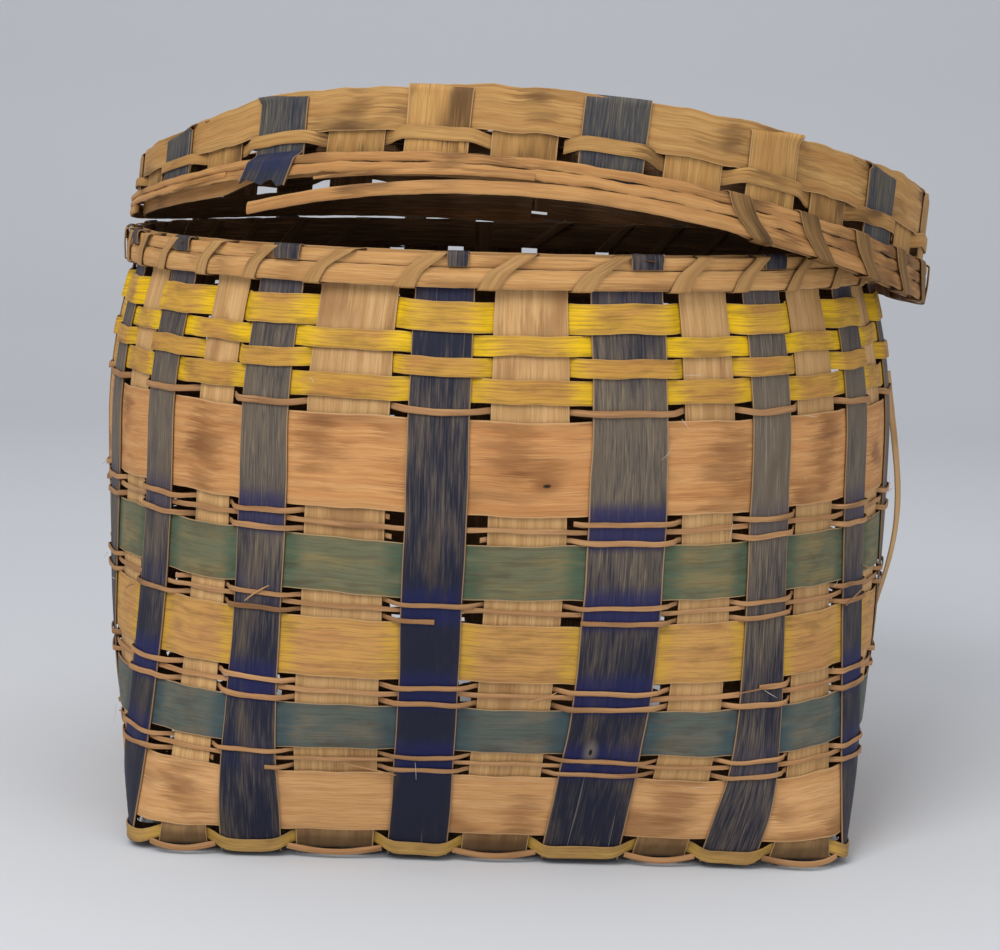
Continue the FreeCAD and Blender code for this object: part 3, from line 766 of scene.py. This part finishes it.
# Undyed woods: name, pale, plain, dark and stain tone, share of the stain, and what sets them apart
PLAIN_WOODS = (
    ("lint", (226, 220, 206), (214, 206, 190), (190, 180, 162), (190, 180, 162), 0.2, {}),
    ("natural_splint", (228, 184, 126), (210, 162, 104), (160, 112, 64), (134, 88, 50), 0.5, {}),
    ("upper_wide_splint", (230, 172, 110), (214, 150, 90), (168, 106, 56), (108, 62, 30), 0.6,
     {"knot": WIDE_KNOT, "stains": UPPER_STAINS}),
    ("wide_natural_splint", (226, 174, 118), (210, 156, 98), (162, 108, 62), (116, 70, 36), 0.6,
     {"stains": LOWER_STAINS}),
    ("thin_splint", (202, 154, 106), (182, 132, 86), (132, 90, 54), (100, 66, 40), 0.6, {"edge_share": 0.25}),
    ("rim_wood", (226, 174, 112), (206, 152, 90), (154, 102, 56), (104, 64, 32), 0.6, {}),
    ("lashing_splint", (206, 160, 102), (184, 138, 82), (132, 92, 50), (96, 64, 34), 0.5, {}),
    ("stained_lashing_splint", (156, 118, 70), (126, 92, 52), (82, 56, 30), (52, 34, 20), 0.85, {}),
    ("lid_natural_splint", (212, 164, 98), (188, 138, 76), (132, 90, 46), (74, 48, 26), 0.8,
     {"crack_share": 0.8}),
    ("lid_wide_splint", (216, 168, 102), (194, 142, 80), (136, 92, 48), (72, 46, 24), 0.7,
     {"crack_share": 0.9, "stains": LID_STAINS}),
    ("lid_hoop_wood", (216, 162, 100), (194, 138, 80), (140, 90, 48), (76, 46, 25), 0.8,
     {"crack_share": 0.9, "stains": HOOP_STAINS}),
)
# Dyed woods: name, faded, fresh and bare tone, share of the bare tone, and reach of the fresh dye in metres
DYED_WOODS = (
    ("yellow_splint", (212, 162, 62), (242, 194, 8), (196, 140, 74), 0.8, 0.0155),
    ("soft_yellow_splint", (206, 154, 68), (228, 180, 34), (188, 132, 70), 0.8, 0.010),
    ("foot_yellow_splint", (180, 142, 78), (190, 150, 66), (166, 124, 76), 0.7, 0.010),
    ("green_splint", (112, 112, 84), (80, 98, 76), (140, 124, 82), 0.85, 0.010),
    ("gold_splint", (206, 154, 84), (208, 160, 62), (194, 138, 84), 0.8, 0.009),
    ("teal_splint", (90, 98, 90), (62, 82, 86), (116, 108, 92), 0.8, 0.010),
)
for wood_name, *wood_tones, wood_stain, apart in PLAIN_WOODS:
    plain_splint(wood_name, wood_tones, wood_stain, **apart)
for wood_name, *wood_tones, wood_bare, wood_reach in DYED_WOODS:
    dyed_weaver(wood_name, wood_tones, wood_bare, wood_reach)
indigo_splint("blue_splint", BLUE_TONES)
indigo_splint("knotted_blue_splint", BLUE_TONES, BLUE_KNOT)
indigo_splint("lid_blue_splint", ((42, 46, 62), (104, 98, 84), (40, 46, 82)))


# Uprights of the basket

# On each blue front upright, strength of the shelter at the thin rows from the top one down, and extra wear
FRONT_SHELTER_SHARES = {2: (0.8, 0.45, 0.75, 0.4), 4: (0.25, 0.7, 0.7, 0.75), 6: (1.0, 0.9, 0.8, 0.8),
                        8: (0.45, 0.35, 0.3, 0.45)}
FRONT_WEAR_SHARES = {2: 0.12, 4: -0.3, 6: 0.06, 8: 0.3}
SIDE_WEAR_SHARE = 0.1
# Shelter of the rim and its heights, and how far a thin row shelters below and above itself
RIM_SHELTER_SHARE, RIM_SHELTER_SPAN = 0.45, (0.252, 0.268)
SHELTER_BELOW, SHELTER_ABOVE = 0.006, 0.015
# Heights between which the wear grows, falls off again, and the painted shade at the foot ends
WEAR_GROWS, WEAR_FALLS, FOOT_SHADE_ENDS = (0.08, 0.20), (0.215, 0.25), (0.008, 0.019)
# Raggedness and wave length of the upper edge of the painted shade at the foot, in metres
FOOT_SHADE_RAGGED, FOOT_SHADE_WAVE = 0.002, 0.012
KNOTTED_UPRIGHT = "front_splint_6"


def shelter_at(height, strengths):
    """How well the rim and the thin rows shelter a blue upright at a height."""
    found = RIM_SHELTER_SHARE * smooth(*RIM_SHELTER_SPAN, height)
    for number, strength in enumerate(strengths, start=1):
        low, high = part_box(f"thin_weavers_{number}")
        below = 1 - smooth(0.0, SHELTER_BELOW, low.z - height)
        above = 1 - smooth(0.0, SHELTER_ABOVE, height - high.z)
        found = np.maximum(found, strength * below * above)
    return found


def body_marks(extra_wear, strengths, seed):
    """Marks of a basket upright: wear is greatest at the upper wide row and least near the foot."""
    def marks(middle, outs):
        height = middle[..., 2]
        wall = np.abs(outs[:, 2:3]) < 0.5
        wear = 0.12 + 0.6 * smooth(*WEAR_GROWS, height) - 0.28 * smooth(*WEAR_FALLS, height) + extra_wear
        ragged = FOOT_SHADE_RAGGED * wobble(middle[..., 0], FOOT_SHADE_WAVE, seed)
        shelter = np.where(wall, shelter_at(height, strengths), 0.0)
        # Where the natural uprights get painted shade near the foot
        foot = 1 - smooth(*FOOT_SHADE_ENDS, height + ragged)
        return {"wear": np.where(wall, wear, 0.3), "shelter": shelter, "foot": foot}
    return marks


def lid_marks(middle, outs):
    """Marks of a lid splint: evenly worn."""
    return {"wear": 0.55, "shelter": 0.0}


def both_sets(cup, front, side, prefix):
    """Every upright of a cup: its name, face, number and place, and the splints it crosses on the floor."""
    crossings = crossings_of(cup, side, 1), crossings_of(cup, front, 0)
    for face, (word, group) in enumerate((("front", front), ("side", side))):
        for index, upright in enumerate(group, start=1):
            yield f"{prefix}{word}_splint_{index}", face, index, upright, crossings[face]


def add_basket_uprights():
    """The two sets of uprights of the basket."""
    for node, face, index, upright, crossings in both_sets(body_cup, BODY_FRONT, BODY_SIDE, ""):
        material = "blue_splint" if upright[2] else "natural_splint"
        wear, seed = SIDE_WEAR_SHARE, 60 + 20 * face + index
        strengths = np.random.default_rng(seed).uniform(0.3, 1.0, 4)
        if face == 0:
            wear = FRONT_WEAR_SHARES.get(index, 0.0)
            strengths = FRONT_SHELTER_SHARES.get(index, strengths)
        if node == KNOTTED_UPRIGHT:
            material = "knotted_blue_splint"
        add_upright(body_cup, node, face, upright, crossings, RIM_HEIGHT - HOOP_GAP, material,
                    body_marks(wear, strengths, seed), 20 * face + index * 3)


# Heights of a row's strands as shares of its own, and which strands pass outside
WHOLE_SHARES = ((0.0, 1.0),)
TRIO_SHARES = ((0.01, 0.24), (0.39, 0.61), (0.77, 0.99))
OVER, UNDER, TRIO = (True,), (False,), (True, False, True)
# Rows of the basket from the foot up, each with its wood
ROWS = (
    ("foot_yellow_weaver", OVER, "foot_yellow_splint"),
    ("lower_wide_weaver", UNDER, "wide_natural_splint"),
    ("thin_weavers_4", TRIO, "thin_splint"),
    ("teal_weaver", UNDER, "teal_splint"),
    ("thin_weavers_3", TRIO, "thin_splint"),
    ("gold_weaver", UNDER, "gold_splint"),
    ("thin_weavers_2", TRIO, "thin_splint"),
    ("green_weaver", UNDER, "green_splint"),
    ("thin_weavers_1", TRIO, "thin_splint"),
    ("upper_wide_weaver", UNDER, "upper_wide_splint"),
    ("thin_top_weaver", OVER, "thin_splint"),
    ("yellow_weaver_4", UNDER, "soft_yellow_splint"),
    ("yellow_weaver_3", OVER, "soft_yellow_splint"),
    ("yellow_weaver_2", UNDER, "yellow_splint"),
    ("yellow_weaver_1", OVER, "yellow_splint"),
)
THIN_LIMIT = 0.005
THIN_SAG, FOOT_SAG = 0.0010, 0.0042
ROW_RAGGED, ROW_BULGE = 0.0007, 0.0005
BREAK_ROOM = 0.004


def beside(index, side):
    """Place just past one edge of a front upright, in quarters around."""
    place, width, outside = BODY_FRONT[index - 1]
    return 4 + place + side * (width / 2 + BREAK_ROOM) / body_cup.quarter


# Where thin rows are broken: node and strand, then each gap's two ends in quarters around
BROKEN = {
    ("thin_weavers_1", 0): ((beside(4, -1), beside(4, 1)),),
    ("thin_weavers_1", 2): ((beside(4, -1) - 0.004, beside(6, -1)), (5.3, 5.42)),
    ("thin_weavers_2", 0): ((beside(4, 1) - 0.05, beside(5, 1) + 0.012),),
    ("thin_weavers_2", 2): ((3.35, 3.5),),
    ("thin_weavers_3", 2): ((beside(8, -1) - 0.012, beside(8, 1) - 0.06),),
    ("thin_weavers_4", 0): ((beside(2, -1), beside(2, 1) - 0.03), (4.9, 5.05)),
}


def lengths_left(breaks):
    """The lengths of a row that remain between its breaks."""
    start = body_cup.edges[0][0]
    ends = [start]
    for gap in breaks:
        ends.extend(gap)
    ends.append(start + 4)
    return list(zip(ends[::2], ends[1::2]))


def add_basket_rows():
    """All rows of the basket, each strand and each broken length a piece of its own."""
    for number, (node, overs, material) in enumerate(ROWS):
        shares = TRIO_SHARES if overs == TRIO else WHOLE_SHARES
        foot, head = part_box(node)
        tall = head.z - foot.z
        for strand, ((lower, upper), over) in enumerate(zip(shares, overs)):
            row = (foot.z + tall * lower, foot.z + tall * upper)
            thin = row[1] - row[0] < THIN_LIMIT
            sag = THIN_SAG if thin and over else 0.0
            if node == "foot_yellow_weaver":
                sag = FOOT_SAG
            for count, length in enumerate(lengths_left(BROKEN.get((node, strand), ())), start=1):
                name = node if len(overs) == 1 else f"{node}.{strand + 1}.{count}"
                add_weaver(body_cup, name, row, over, material, 100 + number * 7 + strand, node,
                           columns=5 if thin else 9, length=length, sag=sag, ragged=ROW_RAGGED,
                           bulge=0.0 if over else ROW_BULGE)


# Rim of the basket
RIM_SPLIT_RISE, RIM_SPLIT_GAP = 0.009, 0.0002
RIM_TOP_SHARE = 0.6
RIM_INNER_RISE = 0.0010


def add_basket_rim():
    """Outer hoop in two bands, and inner hoop."""
    low = RIM_HEIGHT - HOOP_HEIGHT
    split = low + RIM_SPLIT_RISE
    hoop_band(body_cup, "rim_outer_hoop", HOOP_SEAT, HOOP_SEAT + HOOP_THICK, low, split, "rim_wood", 301)
    hoop_band(body_cup, "rim_top_band", HOOP_SEAT, HOOP_SEAT + HOOP_THICK * RIM_TOP_SHARE,
              split + RIM_SPLIT_GAP, RIM_HEIGHT, "rim_wood", 305, "rim_outer_hoop")
    hoop_band(body_cup, "rim_inner_hoop", -HOOP_SEAT - HOOP_THICK, -HOOP_SEAT, low,
              RIM_HEIGHT + RIM_INNER_RISE, "rim_wood", 309)


# One turn of a lashing: how far each bend lies from one gap to the next
LASHING_TURN_SHARES = (0.0, 0.02, 0.04, 0.13, 0.36, 0.42, 0.5, 0.55, 0.95)
LASHING_THICK = 0.0008
LASHING_BULGE = 0.0003
LASHING_BEND = 0.002
RIM_LASHING_HALF_WIDTH = 0.0041
LID_LASHING_HALF_WIDTH = 0.0056


def add_lashing(cup, node, gaps, through, around_edge, inside, outside, half_width, material, seed):
    """One long strip wound round two hoops, leaning from gap to gap."""
    clear = HOOP_GAP + LASHING_THICK / 2
    way = 1 if around_edge > through else -1
    inner, outer = inside - clear, outside + clear
    near, far = through - way * clear, around_edge + way * clear
    low_bend, high_bend = near + way * LASHING_BEND, far - way * LASHING_BEND
    # Each bend as (offset, height, outward share, upward share)
    bends = ((inner, near, -1, -way), (outer, near, 1, -way), (outer, low_bend, 1, 0),
             (outer + LASHING_BULGE, (near + far) / 2, 1, 0), (outer, high_bend, 1, 0), (outer, far, 1, way),
             (inner, far, -1, way), (inner, high_bend, -1, 0), (inner, low_bend, -1, 0))
    knots = []
    for gap, following in zip(gaps[:-1], gaps[1:]):
        for share, bend in zip(LASHING_TURN_SHARES, bends):
            knots.append((gap + (following - gap) * share, *bend))
    dense = soften(drawn_out(np.array(knots), 7), 6)
    reach = half_width * (1 + 0.12 * wobble(np.arange(len(dense)) / 40, 1.7, seed)) / cup.quarter
    across = across_steps(7)
    points, normals = cup.wall(dense[:, :1] + across * reach[:, None], dense[:, 2:3], dense[:, 1:2])
    outs = unit(normals * dense[:, None, 3:4] + UP * dense[:, None, 4:5])
    depth = outs * (thickness(across) * LASHING_THICK / SPLINT_THICK)[:, None]
    # Where the lashing runs inside the hoops it is marked as inner face, so it gets the painted inside shade
    strip(node, cup, points + depth, points - depth, distances(points[:, 3]), across, material, seed,
          half_width, node, smooth(-0.4, 0.4, dense[:, 3:4]))


def add_rim_lashing():
    """The lashing of the basket's rim."""
    outside = HOOP_SEAT + HOOP_THICK
    add_lashing(body_cup, "rim_lashing", gaps_between(body_cup.edges), RIM_HEIGHT - HOOP_HEIGHT, RIM_HEIGHT,
                -outside - HOOP_GAP, outside, RIM_LASHING_HALF_WIDTH, "lashing_splint", 331)


# Folded end of a blue upright: offset, height above the rim, outward share and upward share
TAB_FOLD = np.array([(OUTER, -0.004, 1.0, 0.0), (OUTER, 0.0004, 0.2, 0.9),
                     (OUTER + 0.0012, 0.0014, 0.1, 1.0), (OUTER + 0.0034, 0.0012, 0.7, 0.7),
                     (OUTER + 0.0040, -0.0004, 1.0, 0.1), (OUTER + 0.0041, -0.0052, 1.0, 0.0)])
TAB_LEFT_SHARE, TAB_RIGHT_SHARE = 0.30, 0.70


def add_rim_tabs():
    """Ends of the blue uprights, folded out over the rim and tucked under the lashing."""
    fold = drawn_out(TAB_FOLD, 5)
    path, ways = soften(fold[:, :2], 3), fold[:, 2:]
    blues = [edge for edge in body_cup.edges if edge[2]]
    for index, (left, right, outside) in enumerate(blues):
        middle = np.full(len(path), left * TAB_LEFT_SHARE + right * TAB_RIGHT_SHARE)
        half_width = (right - left) * body_cup.quarter * (0.22 + 0.05 * math.sin(index * 2.1))
        ribbon(f"rim_tab.{index + 1}", body_cup, (middle, RIM_HEIGHT + path[:, 1], path[:, 0]),
               half_width, "blue_splint", 340 + index, columns=7, outward=ways[:, :1], lean=UP * ways[:, 1:])


# Loose strips of the basket
LOOSE_QUARTER = 0.87
LOOSE_BOW = 0.007
LOOSE_HALF_WIDTH = 0.0045
LOOSE_TURN = np.array([0, -0.35, 0])
LOOSE_STEPS, CURL_STEPS, HAIR_STEPS = 40, 24, 12
CURL_HEIGHT, CURL_DIP = 0.0052, 0.0022
CURL_STAND_OFF = 0.0016
CURL_OVERRUN = 0.012
CURL_HALF_WIDTH = 0.0014
LINT_COUNT, SLIVER_COUNT = 46, 22
HAIR_STAND_OFF = OUTMOST + 0.0007
LINT_HALF_WIDTH, SLIVER_HALF_WIDTH = 0.00012, 0.0004
HAIR_PLACES = (2.05, 5.95)
LINT_HEIGHTS, LINT_LENGTHS, LINT_SCATTER = (0.03, 0.26), (0.003, 0.010), 0.006
SLIVER_LENGTHS, SLIVER_SCATTER = (0.010, 0.026), 0.004


def add_loose_splint():
    """A natural strip that has sprung out of the right side."""
    low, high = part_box("loose_side_splint")
    share = np.linspace(0, 1, LOOSE_STEPS)
    height = low.z + (high.z - low.z) * share
    offset = SPLINT_THICK + HOOP_GAP + LOOSE_BOW * np.sin(np.pi * share) ** 2
    ribbon("loose_side_splint", body_cup, (LOOSE_QUARTER, height, offset), LOOSE_HALF_WIDTH, "natural_splint",
           371, node="loose_side_splint", lean=LOOSE_TURN)


def add_foot_curls():
    """Thin strips that curl out from under the natural uprights at the foot."""
    arch = np.sin(np.pi * np.linspace(0, 1, CURL_STEPS))
    for index, (left, right, outside) in enumerate(body_cup.edges):
        if outside:
            continue
        quarters = np.linspace(left - CURL_OVERRUN, right + CURL_OVERRUN, CURL_STEPS)
        path = (quarters, CURL_HEIGHT - CURL_DIP * arch, INNER + CURL_STAND_OFF * (1 + arch))
        ribbon(f"foot_curl.{index + 1}", body_cup, path, CURL_HALF_WIDTH, "thin_splint", 380 + index)


def add_hair(name, quarters, height, length, tilt, curl, half_width, material, seed):
    """One fine curved fibre caught on the wall."""
    share = np.linspace(-0.5, 0.5, HAIR_STEPS)
    aside = length * (np.cos(tilt) * share + curl * (share ** 2 - 0.08))
    rise = length * (np.sin(tilt) * share - curl * share ** 2 * 0.6)
    lift = HAIR_STAND_OFF * (1 + 0.5 * (share + 0.5) ** 2)
    path = (quarters + aside / body_cup.quarter, height + rise, lift)
    ribbon(name, body_cup, path, half_width * (1 - np.abs(share)), material, seed, half_width, columns=3)


def add_lint():
    """Pale lint and loose slivers of wood caught in the weave, mostly along the thin rows."""
    chance = np.random.default_rng(77)
    heights = [sum(corner.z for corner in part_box(f"thin_weavers_{number}")) / 2 for number in range(1, 5)]
    for number in range(LINT_COUNT):
        if number % 3:
            height = chance.choice(heights) + chance.normal(0, LINT_SCATTER)
        else:
            height = chance.uniform(*LINT_HEIGHTS)
        add_hair(f"lint.{number + 1}", chance.uniform(*HAIR_PLACES), height, chance.uniform(*LINT_LENGTHS),
                 chance.uniform(-3.1, 3.1), chance.uniform(-0.6, 0.6), LINT_HALF_WIDTH, "lint", number)
    for number in range(SLIVER_COUNT):
        add_hair(f"sliver.{number + 1}", chance.uniform(*HAIR_PLACES),
                 chance.choice(heights) + chance.normal(0, SLIVER_SCATTER), chance.uniform(*SLIVER_LENGTHS),
                 chance.normal(0, 0.35), chance.uniform(-0.25, 0.25), SLIVER_HALF_WIDTH, "thin_splint",
                 50 + number)


# The lid
BLUE_LID = ("lid_front_splint_2", "lid_front_splint_6", "lid_side_splint_1")
# Lengths of the lid's broken narrow row, in quarters around
NARROW_LENGTHS = ((2.03, 3.97), (4.056, 4.226), (4.235, 6.02))
NARROW_LIFT = 0.0026
# The split-off strip of the lid's hoop: where it starts, where it joins again, and where it ends
STRIP_FIRST, STRIP_JOIN, STRIP_LAST = -0.42, 0.18, 3.2
# The inner hoop's broken edge: its height, its middle left of the front's, and where it ends, in quarters
INNER_BREAK, INNER_BREAK_SHIFT, INNER_BREAK_ENDS = 0.006, 0.08, (0.34, 0.44)
INNER_BACK_DROP, INNER_BACK_STARTS = 0.0004, (0.7, 0.9)
WIDE_RAGGED, WIDE_BULGE = 0.0013, 0.0008
UPPER_RAGGED, LOWER_RAGGED = 0.0005, 0.0007
TORN_WAVE, TORN_TOOTH = 0.0016, 0.0012
TORN_TOP, TORN_END = 0.0185, 0.0035
TORN_LEAN = 0.006
# Split-off ends of the lid's hoop: first and last place, lower and upper edge, and how far the tip falls
BROKEN_ENDS = ((-0.30, 0.02, 0.0062, 0.0092, 0.004), (-0.60, -0.47, 0.0085, 0.0115, 0.003))
BROKEN_STAND_OFF = 0.0012
LID_LASHED = (4.3, 5.3)


def add_lid_weave():
    """The lid's crossing splints and the two rows of its skirt."""
    for node, face, index, upright, crossings in both_sets(lid_cup, LID_FRONT, LID_SIDE, "lid_"):
        material = "lid_blue_splint" if node in BLUE_LID else "lid_natural_splint"
        add_upright(lid_cup, node, face, upright, crossings, LID_UPRIGHT_END, material, lid_marks,
                    400 + 20 * face + index * 3)
    add_weaver(lid_cup, "lid_wide_weaver", LID_WIDE_ROW, False, "lid_wide_splint", 461, ragged=WIDE_RAGGED,
               bulge=WIDE_BULGE)
    for index, length in enumerate(NARROW_LENGTHS):
        add_weaver(lid_cup, f"lid_narrow_weaver.{index + 1}", LID_NARROW_ROW, True, "lid_natural_splint",
                   470 + index, "lid_narrow_weaver", columns=7, length=length, sag=-NARROW_LIFT,
                   ragged=ROW_RAGGED)


def strip_fall(quarters):
    """How far the split-off strip of the lid's hoop hangs below its place."""
    hang = np.clip(STRIP_JOIN - quarters, 0, None) / (STRIP_JOIN - STRIP_FIRST)
    return STRIP_DROP * hang ** 2


def front_lift(quarters):
    """How much of the inner hoop's lower edge is broken away behind the split-off strip."""
    away = np.abs(np.mod(quarters + 2, 4) - 2 + INNER_BREAK_SHIFT)
    broken = INNER_BREAK * (1 - smooth(*INNER_BREAK_ENDS, away))
    return broken - INNER_BACK_DROP * smooth(*INNER_BACK_STARTS, away)


def add_torn_end():
    """The torn lower end of a blue lid splint, lying over the hoop."""
    place, width, outside = LID_FRONT[1]
    share = np.linspace(0, 1, 16)[:, None]
    across = across_steps(11)
    torn = TORN_WAVE * (wobble(across, 0.9, 531) - across) + TORN_TOOTH * wobble(across, 0.31, 533)
    places = place + (width / 2 * across - TORN_LEAN * share) / lid_cup.quarter
    fall = (TORN_TOP - TORN_END) * share
    height = TORN_TOP - fall + torn * share ** 2
    over = smooth(0.0, 0.3, share)
    offset = (HOOP_SEAT + LID_HOOP_THICK + SPLINT_THICK) * over + OUTER * (1 - over)
    outer = lid_cup.wall(places, height, offset + SPLINT_THICK / 2)[0]
    inner = lid_cup.wall(places, height, offset - SPLINT_THICK / 2)[0]
    shelter = 0.7 * (1 - smooth(0.5, 0.9, share))
    strip("lid_torn_end", lid_cup, outer, inner, fall[:, 0], across, "lid_blue_splint", 12, width / 2,
          wear=0.2, shelter=shelter)


def add_broken_ends():
    """Short lengths that have split away from the lid's hoop."""
    share = np.linspace(1, 0, 30)
    offset = HOOP_SEAT + LID_HOOP_THICK + BROKEN_STAND_OFF * share
    for number, (first, last, low, high, fall) in enumerate(BROKEN_ENDS):
        quarters = np.linspace(first, last, len(share))
        path = (quarters, (low + high) / 2 - fall * share ** 2, offset)
        half_width = (high - low) / 2 * (1 - 0.6 * share ** 3)
        ribbon(f"lid_broken_end.{number + 1}", lid_cup, path, half_width, "lid_hoop_wood", 540 + number)


def add_lid_rim():
    """The lid's hoops, the strip that has split off, and what is left of the lashing."""
    face = HOOP_SEAT + LID_HOOP_THICK
    hoop_band(lid_cup, "lid_outer_hoop", HOOP_SEAT, face, LID_HOOP_CRACK + LID_CRACK_GAP, LID_HOOP_HEIGHT,
              "lid_hoop_wood", 501, ragged=UPPER_RAGGED)
    hoop_band(lid_cup, "lid_hoop_lower_half", HOOP_SEAT, face, LID_SPLIT_HEIGHT, LID_HOOP_CRACK,
              "lid_hoop_wood", 503, "lid_outer_hoop", ragged=LOWER_RAGGED)
    hoop_band(lid_cup, "lid_inner_hoop", -face, -HOOP_SEAT, 0.0, LID_HOOP_HEIGHT, "lid_hoop_wood", 505,
              lift=front_lift)
    hoop_band(lid_cup, "lid_split_strip", HOOP_SEAT, face, 0.0, LID_SPLIT_HEIGHT - HOOP_GAP, "lid_hoop_wood",
              507, ends=(STRIP_FIRST, STRIP_LAST), drop=strip_fall)
    gaps = [gap - 4 for gap in gaps_between(lid_cup.edges) if LID_LASHED[0] < gap < LID_LASHED[1]]
    add_lashing(lid_cup, "lid_lashing", gaps, LID_HOOP_HEIGHT, 0.0, -face - HOOP_GAP, face + HOOP_GAP,
                LID_LASHING_HALF_WIDTH, "stained_lashing_splint", 511)


add_basket_uprights()
add_basket_rows()
add_basket_rim()
add_rim_lashing()
add_rim_tabs()
add_loose_splint()
add_foot_curls()
add_lint()
add_lid_weave()
add_lid_rim()
add_torn_end()
add_broken_ends()

# Floor, light and camera
FLOOR_LEVEL = -0.0003
FLOOR_HALF_WIDTH = 8.0
FLOOR_PROFILE = ((-6.0, FLOOR_LEVEL), (1.6, FLOOR_LEVEL), (2.0, 0.08), (2.3, 0.4), (2.4, 1.0), (2.4, 6.0))
FLOOR_SHADE = (214, 216, 220)
ROOM_LIGHT, ROOM_STRENGTH = (0.93, 0.96, 1.0, 1.0), 0.42
# Lamps as name, place, width in metres and power in watts, all aimed at one point
LAMPS = (("key", (-0.9, -1.6, 1.9), 1.4, 33), ("fill", (1.5, -1.7, 0.9), 1.6, 9),
         ("top", (0.1, 0.2, 2.2), 1.8, 12))
LAMP_TARGET = Vector((0, 0, 0.18))
CAMERA_PLACE = Vector((0.0012, -1.391, 0.348))
CAMERA_PITCH, CAMERA_ROLL = math.radians(90 - 7.69), math.radians(1.55)
CAMERA_LENS, CAMERA_SENSOR = 96.4, 36.0


def add_floor():
    """A pale matte floor that curves up into a backdrop."""
    material = bpy.data.materials.new("pale_floor")
    material.use_nodes = True
    surface = material.node_tree.nodes["Principled BSDF"]
    surface.inputs["Base Color"].default_value = colour(FLOOR_SHADE)
    surface.inputs["Roughness"].default_value = 0.9
    points = [(x, y, z) for y, z in FLOOR_PROFILE for x in (-FLOOR_HALF_WIDTH, FLOOR_HALF_WIDTH)]
    faces = [(2 * i, 2 * i + 1, 2 * i + 3, 2 * i + 2) for i in range(len(FLOOR_PROFILE) - 1)]
    mesh = bpy.data.meshes.new("floor")
    mesh.from_pydata(points, [], faces)
    mesh.shade_smooth()
    mesh.materials.append(material)
    floor = bpy.data.objects.new("floor", mesh)
    bpy.context.scene.collection.objects.link(floor)


def add_light():
    """Soft room light from above and in front, a little stronger from the left."""
    world = bpy.data.worlds.new("room")
    world.use_nodes = True
    background = world.node_tree.nodes["Background"]
    background.inputs["Color"].default_value = ROOM_LIGHT
    background.inputs["Strength"].default_value = ROOM_STRENGTH
    bpy.context.scene.world = world
    for name, place, width, power in LAMPS:
        light = bpy.data.lights.new(name, "AREA")
        light.size = width
        light.energy = power
        lamp = bpy.data.objects.new(name, light)
        lamp.location = place
        lamp.rotation_euler = (LAMP_TARGET - Vector(place)).to_track_quat("-Z", "Y").to_euler()
        bpy.context.scene.collection.objects.link(lamp)


def add_camera():
    """The photo's viewpoint."""
    camera = bpy.data.cameras.new("camera")
    camera.lens = CAMERA_LENS
    camera.sensor_width = CAMERA_SENSOR
    camera.sensor_fit = "HORIZONTAL"
    holder = bpy.data.objects.new("camera", camera)
    tilt = Matrix.Rotation(CAMERA_PITCH, 4, "X") @ Matrix.Rotation(CAMERA_ROLL, 4, "Z")
    holder.matrix_world = Matrix.Translation(CAMERA_PLACE + STANCE) @ tilt
    bpy.context.scene.collection.objects.link(holder)
    bpy.context.scene.camera = holder


add_floor()
add_light()
add_camera()
bpy.context.scene.view_settings.view_transform = "Standard"
